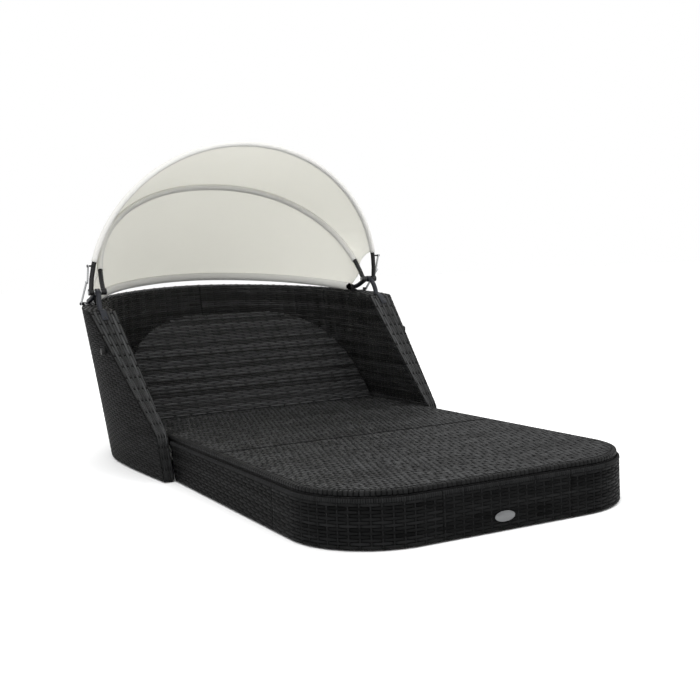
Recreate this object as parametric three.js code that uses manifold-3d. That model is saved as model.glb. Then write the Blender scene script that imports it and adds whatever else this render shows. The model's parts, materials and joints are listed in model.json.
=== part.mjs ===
// Outdoor daybed with a folding canopy, in millimetres, +Z up.
// The foot end points to -Y and the curved head shell stands at the +Y end.
// Lengths along the bed are counted from the line where the shell meets the base.
import * as THREE from 'three'
import { mergeVertices } from 'three/addons/utils/BufferGeometryUtils.js'
import Module from 'manifold-3d'

const wasm = await Module()
wasm.setup()

// Clearances
const seatGap = 0.3
const runGap = 0.5
const cutOverrun = 4

// Woven base and its deck
const baseHalfWidth = 450
const footLength = 1015
const cornerRadius = 215
const skirtThickness = 8
const groundClearance = 5
const grooveHeight = 3.5
const deckTop = 132
const deckThickness = 13
const deckInset = 6
const deckEdgeRound = 4.5
const deckSeamY = -335
const deckSeamGap = 1.2
const deckRearY = 382
const frontPanelSetback = 55
const frontPanelHalfWidth = baseHalfWidth - cornerRadius - frontPanelSetback
const sidePanelSetback = 310
const sidePanelEndY = sidePanelSetback - footLength
const panelSeamGap = 0.8

// Head shell: two hollow woven halves that meet behind the head.
// Its walls are given by how far they stand out from the base's sides.
const shellSkin = 5
const shellKneeSetback = 40
const shellFrontTopY = 450
const shellFrontHeight = 495
const shellLipRise = 59
const shellBackHeight = shellFrontHeight + shellLipRise
const shellSeamGap = 0.8
const outerWall = {
  footOut: 34, kneeOut: 37, topOut: 112, sideBottomOut: 52, sideTopOut: 116,
  turnBottomY: 380, turnTopY: 485, backBottomY: 950, backTopY: 1030,
  bottomSquarenessShare: 2.2, topSquarenessShare: 1.75, side: -1,
}
const innerWall = {
  footOut: 4, kneeOut: 4, topOut: 24, sideBottomOut: 7, sideTopOut: 27,
  turnBottomY: 400, turnTopY: 480, backBottomY: 868, backTopY: 952,
  bottomSquarenessShare: 2.7, topSquarenessShare: 2.05, side: 1,
}
const innerFootX = baseHalfWidth + innerWall.footOut
const outerTopX = baseHalfWidth + outerWall.sideTopOut
const lipSlope = shellLipRise / (outerWall.backTopY - shellFrontTopY)
const lipAt = (y) => shellFrontHeight + lipSlope * (y - shellFrontTopY)
const shellSideShare = 0.34
const shellColumns = 18
const shellRowShares = [0.45, 0.64, 0.82, 1]
const wallSearchSteps = 30
const shellFrameRadius = 7
const shellFrameShares = [0.035, 0.1, 0.18, 0.26, 0.34, 0.42, 0.5, 0.58, 0.66, 0.74, 0.82, 0.9, 0.96]
const shellRailSides = 6
const bottomRailShare = 0.02
const bottomRailSteps = 14
const topRailShare = 0.96
const topRailSteps = 12
const kneeTubeOut = 22
const kneeTubeY = 82
const socketRadius = 11
const socketLengthShare = 0.86
const jointBoltRadius = 4
const jointBoltShares = [0.264, 0.774]
const shellBoltRadius = 4
const shellBoltY = 260
const boltHeadWidth = 4
const boltHeadShare = 1.7
const boltHeadSides = 6
const shellGlideRadius = 9
const backGlideShare = 0.82

// Backrest
const backrestTilt = THREE.MathUtils.degToRad(48)
const backrestLength = 446
const backrestSideGap = 15
const backrestHalfWidth = baseHalfWidth - backrestSideGap
const backrestSquarenessShare = 2.84
const backrestThickness = 14
const backrestEdgeRound = 4
const backrestOutlineSteps = 30
const hingeSetback = 13.7
const hingeY = deckRearY + hingeSetback
const hingeDrop = 22.3
const panelTopAboveHinge = 22
const panelStart = 9.1
const backrestTubeRadius = 8
const backrestTubeInset = 60
const backrestArchSteps = 24
const backrestTubeSteps = 32
const lowerTubeStart = 28
const midTubeShare = 0.5

// Steel frame under the deck
const railSize = 20
const footBarSetback = 115
const footBarY = footBarSetback - footLength
const hingeBarInset = 8
const hingeBarY = deckRearY - hingeBarInset
const sideRailOverrun = 16
const sideRailEndY = hingeBarY + sideRailOverrun
const legInset = 70
const legHalfSpacing = baseHalfWidth - legInset
const glideHeight = 5.7
const glideRadius = 13
const headRailInset = 150
const headRailX = backrestHalfWidth - headRailInset
const headRailShortfall = 126.7
const headRailEndY = hingeY + backrestLength - headRailShortfall

// Ratchet hinges between the base and the backrest
const hingeInset = 105
const hingeX = backrestHalfWidth - hingeInset
const ratchetWheelRadius = 10
const ratchetWheelWidth = 13
const ratchetTeeth = 24
const ratchetToothDepth = 1.2
const cheekThickness = 3
const cheekGap = 0.5
const strapThickness = 3
const ratchetToothShare = 0.6
const hingePinRadius = 3
const hingePinHead = 2
const pawlLength = 13
const pinHeadShare = 1.6

// Canopy
const pivotSetback = 70
const pivotOverLip = 53.88
const pivotY = shellFrontTopY + pivotSetback
const pivotZ = lipAt(pivotY) + pivotOverLip
const postInward = 9.5
const postX = baseHalfWidth + (outerWall.sideTopOut + innerWall.sideTopOut) / 2 - postInward
const hoopTubeRadius = 8
const hoopSteps = 36
const hoopSpacing = 21
const frontHoop = { halfWidth: postX + hoopSpacing, height: 490, lean: 11.6, squarenessShare: 2 }
const middleHoop = {
  halfWidth: postX - hoopSpacing, height: frontHoop.height - 2 * hoopSpacing,
  lean: -36.2, squarenessShare: 2.17,
}
const postRadius = 7.5
const postSteps = 18
const eyeRadius = 11
const pivotPinRadius = 4.7
const pivotPinHead = 2
const postFootInward = 11
const postFootSetback = 37.8
const postFootDrop = 145
const postFootZ = shellFrontHeight - postFootDrop
const postFoot = [postX - postFootInward, shellFrontAt(postFootZ) + postFootSetback, postFootZ]
const postLipSetback = 36
const postLipDrop = 0.66
const postLipY = shellFrontTopY + postLipSetback
const postAtLip = [postX, postLipY, lipAt(postLipY) - postLipDrop]
const postBend = [[-20, -31], [-12, -8], [3, 0], [30, -6], [80, -23]]
const postEndShare = 0.005
const postBendShare = 0.94
const postHoleShares = [0.9, 1.12]
const postRimSetback = 128
const postRimY = pivotY + postRimSetback
const postRimRise = 9
const postPlateHalfWidth = 7
const postPlateHalfLength = 25
const postPlateThickness = 3
const rearHoopInward = 4
const rearHoopLead = 21
const rearHoopOverLip = 8.02
const rearHoopBackInset = 26
const rearHoopRiseShare = lipSlope + 0.0533
const rearHoopStartY = pivotY - rearHoopLead
const rearHoop = {
  halfWidth: postX - rearHoopInward, startY: rearHoopStartY,
  startZ: lipAt(rearHoopStartY) + rearHoopOverLip,
  reach: outerWall.backTopY - rearHoopBackInset - rearHoopStartY, squarenessShare: 1.864,
}
const rearHoopEndSetback = 92
const rearHoopEndY = pivotY + rearHoopEndSetback
const rearHoopSteps = 30
const clothThickness = 2
const clothGap = 1
const clothColumns = 30
const clothRows = 4
const frontSleeveAngle = 0.21
const middleSleeveAngle = 0.17
const clothCentreDrop = 100
const clothFrontBow = 6
const clothRearBow = 10
const clothClampAngle = 0.07
const clothRearRiseShare = 0.4
const clampLength = 34
const clampOverTube = 5

// Folding stays beside each pivot
const stayWidth = 10
const stayThickness = 3
const stayTopSetback = 24
const stayTopOverPivot = 86
const stayTopPin = { y: pivotY - stayTopSetback, z: pivotZ + stayTopOverPivot }
const stayLowSetback = 85
const stayLowOverLip = 6.23
const stayLowPin = { y: pivotY + stayLowSetback, z: lipAt(pivotY + stayLowSetback) + stayLowOverLip }
const upperStayLength = 56
const lowerStayLength = 115
const stayPinRadius = 3
const stayTubeGap = 1.2
const upperStayX = frontHoop.halfWidth + hoopTubeRadius + stayTubeGap
const stayLayerGap = 0.4
const stayHeadWidth = 2
const stayEarSetback = 5.5
const stayEarThickness = 3
const stayEarHalfTop = 6
const stayEarHalfFoot = 8
const stayFootLength = 26
const stayFootHalfWidth = 12
const stayFootThickness = 2.5
const stayCollarShare = 1.8
const kneeRivetShare = 1.5

// Locking knobs on the shell's sides
const knobDrop = 123
const knobHeight = shellFrontHeight - knobDrop
const knobRadius = 11
const knobDepth = 12
const knobLobes = 5
const knobLobeShare = 0.07
const knobStandOff = 2.5
const knobRound = 1.5
const knobShankRadius = 4

const skirtTop = deckTop - deckThickness - grooveHeight
const railTop = deckTop - deckThickness - seatGap
const railBottom = railTop - railSize
const railOuterX = baseHalfWidth - skirtThickness - seatGap
const hingeZ = deckTop - hingeDrop
const panelUnderside = panelTopAboveHinge - backrestThickness
const deg = THREE.MathUtils.degToRad

// Materials
const finish = (color, roughness, metalness) => () =>
  new THREE.MeshStandardMaterial({ color, roughness, metalness, side: THREE.FrontSide })
const wicker = finish(0x26262a, 0.62, 0)
const blackSteel = finish(0x1b1b1e, 0.45, 0.6)
const postSteel = finish(0x3c3e44, 0.4, 0.6)
const brightSteel = finish(0xb4b6ba, 0.3, 0.9)
const plastic = finish(0x141416, 0.5, 0)
const cloth = finish(0xdcdcd2, 0.9, 0)

// Solids and meshes
const bare = (geometry) => {
  const copy = geometry.clone()
  copy.deleteAttribute('normal')
  copy.deleteAttribute('uv')
  return mergeVertices(copy, 1e-5)
}

const toManifold = (geometry) => {
  const merged = bare(geometry)
  return new wasm.Manifold(new wasm.Mesh({
    numProp: 3,
    vertProperties: Float32Array.from(merged.attributes.position.array),
    triVerts: Uint32Array.from(merged.index.array),
  }))
}

const toGeometry = (solid) => {
  const { vertProperties, triVerts } = solid.getMesh()
  const geometry = new THREE.BufferGeometry()
  geometry.setAttribute('position', new THREE.BufferAttribute(Float32Array.from(vertProperties), 3))
  geometry.setIndex(new THREE.BufferAttribute(Uint32Array.from(triVerts), 1))
  return geometry
}

const join = (first, ...others) =>
  toGeometry(others.reduce((sum, other) => sum.add(toManifold(other)), toManifold(first)))
const cut = (first, ...others) =>
  toGeometry(others.reduce((rest, other) => rest.subtract(toManifold(other)), toManifold(first)))

const place = (parent, name, geometry, material) => {
  const shown = geometry.clone()
  shown.deleteAttribute('uv')
  shown.computeVertexNormals()
  const mesh = new THREE.Mesh(shown, material())
  mesh.name = name
  parent.add(mesh)
  return mesh
}

const mirrored = (geometry) => {
  const copy = bare(geometry)
  copy.scale(-1, 1, 1)
  const { array } = copy.index
  for (let i = 0; i < array.length; i += 3) [array[i], array[i + 1]] = [array[i + 1], array[i]]
  return copy
}

const placePair = (parent, name, rightGeometry, material, leftParent = parent) => {
  place(parent, `${name}_right`, rightGeometry, material)
  place(leftParent, `${name}_left`, mirrored(rightGeometry), material)
}

// Basic forms
const box = (low, high) => {
  const size = high.map((value, axis) => value - low[axis])
  const middle = high.map((value, axis) => (value + low[axis]) / 2)
  return new THREE.BoxGeometry(...size).translate(...middle)
}

const rodX = (radius, fromX, toX, y, z, sides = 10) =>
  new THREE.CylinderGeometry(radius, radius, toX - fromX, sides)
    .rotateZ(-Math.PI / 2).translate((fromX + toX) / 2, y, z)

const rodZ = (radius, x, y, fromZ, toZ, sides = 12) =>
  new THREE.CylinderGeometry(radius, radius, toZ - fromZ, sides)
    .rotateX(Math.PI / 2).translate(x, y, (fromZ + toZ) / 2)

// Turns a form drawn in XY and raised along Z into one drawn in YZ and raised along X
const alongX = (fromX) =>
  new THREE.Matrix4().set(0, 0, 1, fromX, 1, 0, 0, 0, 0, 1, 0, 0, 0, 0, 0, 1)

const plateX = (shape, fromX, thickness) =>
  new THREE.ExtrudeGeometry(shape, { depth: thickness, bevelEnabled: false, curveSegments: 6 })
    .applyMatrix4(alongX(fromX))

const polygon = (points) => new THREE.Shape(points.map(([a, b]) => new THREE.Vector2(a, b)))

const circle = (radius, sides) => {
  const shape = new THREE.Shape()
  for (let i = 0; i < sides; i++) {
    const angle = 2 * Math.PI * i / sides
    const move = i ? 'lineTo' : 'moveTo'
    shape[move](radius * Math.cos(angle), radius * Math.sin(angle))
  }
  return shape
}

const tubeAlong = (curve, radius, steps, sides = 8) =>
  new THREE.ExtrudeGeometry(circle(radius, sides), { steps, bevelEnabled: false, extrudePath: curve })

const vector = (point) => new THREE.Vector3(...point)
const smoothTube = (points, radius, steps, sides) =>
  tubeAlong(new THREE.CatmullRomCurve3(points.map(vector), false, 'centripetal'), radius, steps, sides)
const straightTube = (from, to, radius, sides = 8) =>
  tubeAlong(new THREE.LineCurve3(vector(from), vector(to)), radius, 1, sides)

// Points of the base's outline, brought in by an offset, from one end of a run to the other
const cornerArc = (offset, side, segments = 8) => {
  const radius = cornerRadius - offset
  const centre = [side * (baseHalfWidth - cornerRadius), cornerRadius - footLength]
  const points = []
  for (let i = 0; i <= segments; i++) {
    const angle = Math.PI / 2 * i / segments
    points.push([centre[0] + side * radius * Math.cos(angle), centre[1] - radius * Math.sin(angle)])
  }
  return points
}

const cornerRun = (offset, side, startY, endX) => [
  [side * (baseHalfWidth - offset), startY],
  ...cornerArc(offset, side),
  [side * endX, offset - footLength],
]

const extrudedBetween = (outline, low, high) =>
  new THREE.ExtrudeGeometry(polygon(outline), { depth: high - low, bevelEnabled: false })
    .translate(0, 0, low)

const bentStrip = (outerOffset, innerOffset, side, startY, endX, low, high) => extrudedBetween(
  [...cornerRun(outerOffset, side, startY, endX), ...cornerRun(innerOffset, side, startY, endX).reverse()],
  low, high)

// A woven slab with rounded edges, whose outline is its full size
const roundedSlab = (outline, thickness, round) => {
  return new THREE.ExtrudeGeometry(polygon(outline), {
    depth: thickness - 2 * round, bevelEnabled: true, bevelThickness: round,
    bevelSize: round, bevelOffset: -round, bevelSegments: 3,
  }).translate(0, 0, round)
}

// Base
function buildBase(bed) {
  const frontPanel = box(
    [-frontPanelHalfWidth + panelSeamGap / 2, -footLength, groundClearance],
    [frontPanelHalfWidth - panelSeamGap / 2, skirtThickness - footLength, skirtTop])
  place(bed, 'skirt_front', frontPanel, wicker)
  const corner = bentStrip(0, skirtThickness, 1, sidePanelEndY - panelSeamGap / 2,
    frontPanelHalfWidth + panelSeamGap / 2, groundClearance, skirtTop)
  placePair(bed, 'skirt_corner', corner, wicker)
  const sideEnd = (z) => shellFrontAt(z) - seatGap
  const sidePanel = plateX(polygon([
    [sidePanelEndY + panelSeamGap / 2, groundClearance],
    [sideEnd(groundClearance), groundClearance],
    [sideEnd(skirtTop), skirtTop],
    [sidePanelEndY + panelSeamGap / 2, skirtTop],
  ]), baseHalfWidth - skirtThickness, skirtThickness)
  placePair(bed, 'skirt_side', sidePanel, wicker)

  const deckEdge = baseHalfWidth - deckInset
  const deckSeam = deckSeamGap / 2
  const frontDeck = [
    [deckEdge, deckSeamY - deckSeam],
    [-deckEdge, deckSeamY - deckSeam],
    ...cornerArc(deckInset, -1),
    ...cornerArc(deckInset, 1).reverse(),
  ]
  const rearDeck = [
    [deckEdge, deckSeamY + deckSeam], [deckEdge, deckRearY],
    [-deckEdge, deckRearY], [-deckEdge, deckSeamY + deckSeam],
  ]
  const deckBottom = deckTop - deckThickness
  const slab = (outline) => roundedSlab(outline, deckThickness, deckEdgeRound).translate(0, 0, deckBottom)
  place(bed, 'deck_front', slab(frontDeck), wicker)
  place(bed, 'deck_middle', slab(rearDeck), wicker)
}

// Steel frame under the deck
function buildFrame(bed) {
  const railOffset = skirtThickness + seatGap
  const bentRail = (side) => bentStrip(railOffset, railOffset + railSize, side, sidePanelEndY, 0,
    railBottom, railTop)
  place(bed, 'frame_rail_foot', join(bentRail(1), bentRail(-1)), blackSteel)

  const boltHole = rodX(shellBoltRadius + runGap, railOuterX - railSize - cutOverrun,
    railOuterX + cutOverrun, shellBoltY, railTop - railSize / 2)
  const sideRail = cut(box([railOuterX - railSize, sidePanelEndY + seatGap, railBottom],
    [railOuterX, sideRailEndY, railTop]), boltHole)
  placePair(bed, 'frame_rail', sideRail, blackSteel)

  const barHalf = railOuterX - railSize - seatGap
  const half = railSize / 2
  const bar = (y, reach = barHalf) => box([-reach, y - half, railBottom], [reach, y + half, railTop])
  const leg = (x, y) => box([x - half, y - half, glideHeight + seatGap],
    [x + half, y + half, railTop - half])
  const footReach = footBarReach()
  const footLegX = footReach - half
  place(bed, 'cross_frame_foot', join(bar(footBarY, footReach), leg(footLegX, footBarY),
    leg(-footLegX, footBarY)), blackSteel)
  place(bed, 'cross_frame_seam', bar(deckSeamY), blackSteel)
  place(bed, 'cross_frame_hinge', join(bar(hingeBarY), leg(legHalfSpacing, hingeBarY),
    leg(-legHalfSpacing, hingeBarY)), blackSteel)

  const headRailTop = hingeZ + panelUnderside - 2 * backrestTubeRadius - 2 * seatGap
  const headRail = join(
    box([headRailX - half, hingeBarY + half + seatGap, headRailTop - railSize],
      [headRailX + half, headRailEndY, headRailTop]),
    box([headRailX - half, headRailEndY - railSize, glideHeight + seatGap],
      [headRailX + half, headRailEndY, headRailTop - half]))
  placePair(bed, 'head_rail', headRail, blackSteel)

  const glide = (x, y, radius = glideRadius) => rodZ(radius, x, y, 0, glideHeight)
  placePair(bed, 'glide_foot', glide(footLegX, footBarY), plastic)
  placePair(bed, 'glide_middle', glide(legHalfSpacing, hingeBarY), plastic)
  placePair(bed, 'glide_head', glide(headRailX, headRailEndY - half), plastic)
}

// Half length of the foot bar, which ends against the bent rail
function footBarReach() {
  const radius = cornerRadius - skirtThickness - railSize - 2 * seatGap
  const beyondCentre = cornerRadius - footLength - (footBarY - railSize / 2)
  return baseHalfWidth - cornerRadius + Math.sqrt(radius ** 2 - beyondCentre ** 2) - runGap
}

// Head shell
function shellFrontAt(z) {
  if (z <= deckTop) return shellKneeSetback * z / deckTop
  const slope = (shellFrontTopY - shellKneeSetback) / (shellFrontHeight - deckTop)
  return shellKneeSetback + (z - deckTop) * slope
}

const lerp = THREE.MathUtils.lerp
const kneeShare = (deckTop - groundClearance) / (shellFrontHeight - groundClearance)

// A wall's outline at a share of its height: straight beside the mattress, then round to the back
function wallPlan(wall, along, height) {
  const frontY = height <= kneeShare
    ? shellKneeSetback * height / kneeShare
    : lerp(shellKneeSetback, shellFrontTopY, (height - kneeShare) / (1 - kneeShare))
  const frontOut = height <= kneeShare
    ? lerp(wall.footOut, wall.kneeOut, height / kneeShare)
    : lerp(wall.kneeOut, wall.topOut, (height - kneeShare) / (1 - kneeShare))
  const sideOut = lerp(wall.sideBottomOut, wall.sideTopOut, height)
  const turnY = lerp(wall.turnBottomY, wall.turnTopY, height)
  if (along <= shellSideShare) {
    const share = along / shellSideShare
    const out = lerp(frontOut, sideOut, Math.sin(share * Math.PI / 2))
    return [baseHalfWidth + out, lerp(frontY, turnY, share)]
  }
  const angle = (along - shellSideShare) / (1 - shellSideShare) * Math.PI / 2
  const power = 2 / lerp(wall.bottomSquarenessShare, wall.topSquarenessShare, height)
  const backY = lerp(wall.backBottomY, wall.backTopY, height)
  return [
    (baseHalfWidth + sideOut) * Math.max(Math.cos(angle), 0) ** power,
    turnY + (backY - turnY) * Math.sin(angle) ** power,
  ]
}

// The same outline brought into the wall by an inset, square to itself
function wallPoint(wall, along, height, inset) {
  const [x, y] = wallPlan(wall, along, height)
  if (!inset) return [x, y]
  const step = 0.01
  const [x0, y0] = wallPlan(wall, Math.max(along - step, 0), height)
  const [x1, y1] = wallPlan(wall, Math.min(along + step, 1), height)
  const length = Math.hypot(x1 - x0, y1 - y0)
  const outward = [(y1 - y0) / length, -(x1 - x0) / length]
  return [x + wall.side * inset * outward[0], y + wall.side * inset * outward[1]]
}

const shellHeights = [0, kneeShare, ...shellRowShares]

// A closed body between the two walls; with an inset it is the hollow inside them
function shellBody(inset) {
  const positions = []
  const centreX = shellSeamGap / 2 + inset
  const point = (wall, column, row) => {
    const height = shellHeights[row]
    let [x, y] = wallPoint(wall, column / shellColumns, height, inset)
    if (column === 0) y += inset / Math.cos(Math.atan2(shellFrontTopY, shellFrontHeight))
    if (column === shellColumns) x = centreX
    const lip = lipAt(wallPlan(wall, column / shellColumns, 1)[1])
    let z = groundClearance + height * (lip - groundClearance)
    if (row === 0 && inset) z -= cutOverrun
    if (row === shellHeights.length - 1) z -= inset
    return [Math.max(x, centreX), y, z]
  }
  const rows = shellHeights.length
  for (const wall of [outerWall, innerWall]) {
    for (let row = 0; row < rows; row++) {
      for (let column = 0; column <= shellColumns; column++) positions.push(...point(wall, column, row))
    }
  }
  const layer = rows * (shellColumns + 1)
  const at = (side, row, column) => side * layer + row * (shellColumns + 1) + column
  const index = []
  const quad = (a, b, c, d) => index.push(a, b, c, a, c, d)
  for (let row = 0; row < rows - 1; row++) {
    for (let column = 0; column < shellColumns; column++) {
      quad(at(0, row, column), at(0, row, column + 1), at(0, row + 1, column + 1), at(0, row + 1, column))
      quad(at(1, row, column), at(1, row + 1, column), at(1, row + 1, column + 1), at(1, row, column + 1))
    }
    quad(at(0, row, 0), at(0, row + 1, 0), at(1, row + 1, 0), at(1, row, 0))
    quad(at(0, row, shellColumns), at(1, row, shellColumns),
      at(1, row + 1, shellColumns), at(0, row + 1, shellColumns))
  }
  for (let column = 0; column < shellColumns; column++) {
    quad(at(0, rows - 1, column), at(0, rows - 1, column + 1),
      at(1, rows - 1, column + 1), at(1, rows - 1, column))
    quad(at(0, 0, column), at(1, 0, column), at(1, 0, column + 1), at(0, 0, column + 1))
  }
  const geometry = new THREE.BufferGeometry()
  geometry.setAttribute('position', new THREE.Float32BufferAttribute(positions, 3))
  geometry.setIndex(index)
  return geometry
}

// The middle of the hollow, where the shell's own frame runs
function hollowPoint(along, height, z) {
  const [outerX, outerY] = wallPoint(outerWall, along, height, 0)
  const [innerX, innerY] = wallPoint(innerWall, along, height, 0)
  return [(outerX + innerX) / 2, (outerY + innerY) / 2, z]
}

const alongPost = (share) => postFoot.map((v, axis) => lerp(v, postAtLip[axis], share))

function shellFrame() {
  const bottomZ = glideHeight + seatGap + shellFrameRadius
  const bottomRail = shellFrameShares.map((along) => hollowPoint(along, bottomRailShare, bottomZ))
  const lipDrop = shellSkin + 2 * seatGap + shellFrameRadius
  const topRail = shellFrameShares.slice(3).map((along) => {
    const [x, y] = hollowPoint(along, topRailShare, 0)
    return [x, y, lipAt(y) - lipDrop]
  })
  const topEnd = topRail.length - 1
  const socketTop = alongPost(socketLengthShare)
  const kneeTube = [baseHalfWidth + kneeTubeOut, kneeTubeY, deckTop + shellFrameRadius]
  const pieces = [
    smoothTube(bottomRail, shellFrameRadius, bottomRailSteps, shellRailSides),
    smoothTube(topRail, shellFrameRadius, topRailSteps, shellRailSides),
    straightTube(bottomRail[topEnd + 2], topRail[topEnd - 1], shellFrameRadius, shellRailSides),
    straightTube(bottomRail[6], topRail[3], shellFrameRadius, shellRailSides),
    straightTube(bottomRail[1], kneeTube, shellFrameRadius, shellRailSides),
    straightTube(kneeTube, postFoot, shellFrameRadius, shellRailSides),
    straightTube(postFoot, socketTop, socketRadius, 12),
    straightTube(socketTop, topRail[0], shellFrameRadius, shellRailSides),
  ]
  const bore = straightTube(postFoot, postAtLip, postRadius + runGap, 16)
  const [knobAxisX, knobY] = knobCrossing()
  const knobBore = rodX(knobShankRadius + seatGap, knobAxisX, outerTopX, knobY, knobHeight)
  return cut(join(...pieces), bore, knobBore)
}

// Where the knob's axis crosses the post
function knobCrossing() {
  return alongPost((knobHeight - postFoot[2]) / (postAtLip[2] - postFoot[2]))
}

// A wall's X at a height and a place along the bed
function wallXAt(wall, y, z) {
  const height = (z - groundClearance) / (lipAt(y) - groundClearance)
  let low = 0
  let high = 1
  for (let i = 0; i < wallSearchSteps; i++) {
    const middle = (low + high) / 2
    if (wallPlan(wall, middle, height)[1] < y) low = middle
    else high = middle
  }
  return wallPlan(wall, low, height)[0]
}

function buildShell(bed) {
  const postHole = straightTube(alongPost(postHoleShares[0]), alongPost(postHoleShares[1]),
    postRadius + runGap, 12)
  const [knobAxisX, knobY] = knobCrossing()
  const knobHole = rodX(knobShankRadius + runGap, knobAxisX, outerTopX + cutOverrun, knobY, knobHeight)
  const boltHoles = jointBoltShares.map((share) => {
    const [y, z] = jointBoltPlace(share)
    return rodX(jointBoltRadius + runGap, 0, shellSkin + shellSeamGap + cutOverrun, y, z)
  })
  const baseBoltHole = rodX(shellBoltRadius + runGap, innerFootX - cutOverrun,
    innerFootX + shellSkin + 2 * cutOverrun, shellBoltY, railTop - railSize / 2)
  const hood = cut(shellBody(0), shellBody(shellSkin), postHole, knobHole, baseBoltHole, ...boltHoles)
  placePair(bed, 'shell', hood, wicker)
  placePair(bed, 'shell_frame', shellFrame(), blackSteel)

  const boltEnd = shellSkin + shellSeamGap / 2 + seatGap
  jointBoltShares.forEach((share, i) => {
    const [y, z] = jointBoltPlace(share)
    const bolt = join(
      rodX(jointBoltRadius, -boltEnd - boltHeadWidth / 2, boltEnd + boltHeadWidth / 2, y, z),
      rodX(jointBoltRadius * boltHeadShare, boltEnd, boltEnd + boltHeadWidth, y, z, boltHeadSides),
      rodX(jointBoltRadius * boltHeadShare, -boltEnd - boltHeadWidth, -boltEnd, y, z,
        boltHeadSides))
    place(bed, `shell_joint_bolt_${['lower', 'upper'][i]}`, bolt, blackSteel)
  })

  const spacerEnd = innerFootX - runGap
  const railZ = railTop - railSize / 2
  const nutStart = wallXAt(innerWall, shellBoltY, railZ) + shellSkin + 2 * runGap
  const railInnerX = railOuterX - railSize
  const headRadius = shellBoltRadius * boltHeadShare
  const shellBolt = join(
    rodX(headRadius, railInnerX - boltHeadWidth - seatGap, railInnerX - seatGap, shellBoltY, railZ,
      boltHeadSides),
    rodX(shellBoltRadius, railInnerX - boltHeadWidth, nutStart + boltHeadWidth / 2, shellBoltY, railZ),
    rodX(headRadius, railOuterX + seatGap, spacerEnd, shellBoltY, railZ),
    rodX(headRadius, nutStart, nutStart + boltHeadWidth, shellBoltY, railZ, boltHeadSides))
  placePair(bed, 'shell_bolt', shellBolt, brightSteel)

  const glide = (x, y) => rodZ(shellGlideRadius, x, y, 0, glideHeight)
  const [frontX, frontY] = hollowPoint(shellFrameShares[0], 0, 0)
  const [backX, backY] = hollowPoint(backGlideShare, 0, 0)
  placePair(bed, 'shell_glide_front', glide(frontX, frontY + shellGlideRadius), plastic)
  placePair(bed, 'shell_glide_back', glide(backX, backY), plastic)
}

// Where a bolt joins the two halves, at a share of the shell's height behind the head
function jointBoltPlace(height) {
  const y = (wallPlan(outerWall, 1, height)[1] + wallPlan(innerWall, 1, height)[1]) / 2
  return [y, lerp(groundClearance, shellBackHeight, height)]
}

// Backrest: an arched woven panel on a bent tube, in its own flat frame
const archPoint = (halfWidth, length, squareness, angle) => [
  halfWidth * Math.sign(Math.cos(angle)) * Math.abs(Math.cos(angle)) ** (2 / squareness),
  length * Math.sin(angle) ** (2 / squareness),
]

function archOutline(halfWidth, length, start, segments) {
  const points = []
  for (let i = 0; i <= segments; i++) {
    const [x, y] = archPoint(halfWidth, length, backrestSquarenessShare, Math.PI * i / segments)
    points.push([x, start + y])
  }
  return points
}

function buildBackrest(backrest) {
  const panel = roundedSlab(
    archOutline(backrestHalfWidth, backrestLength - panelStart, panelStart,
      backrestOutlineSteps),
    backrestThickness, backrestEdgeRound).translate(0, 0, panelUnderside)
  place(backrest, 'backrest_panel', panel, wicker)

  const tubeZ = panelUnderside - seatGap - backrestTubeRadius
  const tubeHalf = backrestHalfWidth - backrestTubeInset
  const archLength = backrestLength - backrestTubeInset - lowerTubeStart
  const arch = archOutline(tubeHalf, archLength, lowerTubeStart, backrestArchSteps)
    .map(([x, y]) => [x, y, tubeZ])
  const crossTube = (y, half) => rodX(backrestTubeRadius, -half, half, y, tubeZ, 8)
  const frame = join(smoothTube(arch, backrestTubeRadius, backrestTubeSteps, 8),
    crossTube(lowerTubeStart, tubeHalf),
    crossTube(lowerTubeStart + archLength * midTubeShare, tubeHalf - backrestTubeRadius))
  place(backrest, 'backrest_frame', frame, blackSteel)
  placePair(backrest, 'ratchet_wheel', ratchetWheel(tubeZ), brightSteel)
}

// A toothed wheel whose arm ends against the backrest's lower tube
function ratchetWheel(tubeZ) {
  const shape = new THREE.Shape()
  const steps = 2 * ratchetTeeth
  for (let i = 0; i < steps; i++) {
    const angle = 2 * Math.PI * (i + (i % 2) * ratchetToothShare) / steps
    const radius = ratchetWheelRadius - (i % 2) * ratchetToothDepth
    shape[i ? 'lineTo' : 'moveTo'](radius * Math.cos(angle), radius * Math.sin(angle))
  }
  const half = ratchetWheelWidth / 2
  const wheel = plateX(shape, hingeX - half, ratchetWheelWidth)
  const armHalf = backrestTubeRadius / 2
  const arm = box([hingeX - half, ratchetWheelRadius / 2, tubeZ - armHalf],
    [hingeX + half, lowerTubeStart - backrestTubeRadius - seatGap, tubeZ + armHalf])
  const bore = rodX(hingePinRadius + cheekGap, hingeX - ratchetWheelWidth, hingeX + ratchetWheelWidth, 0, 0)
  return cut(join(wheel, arm), bore)
}

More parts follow.
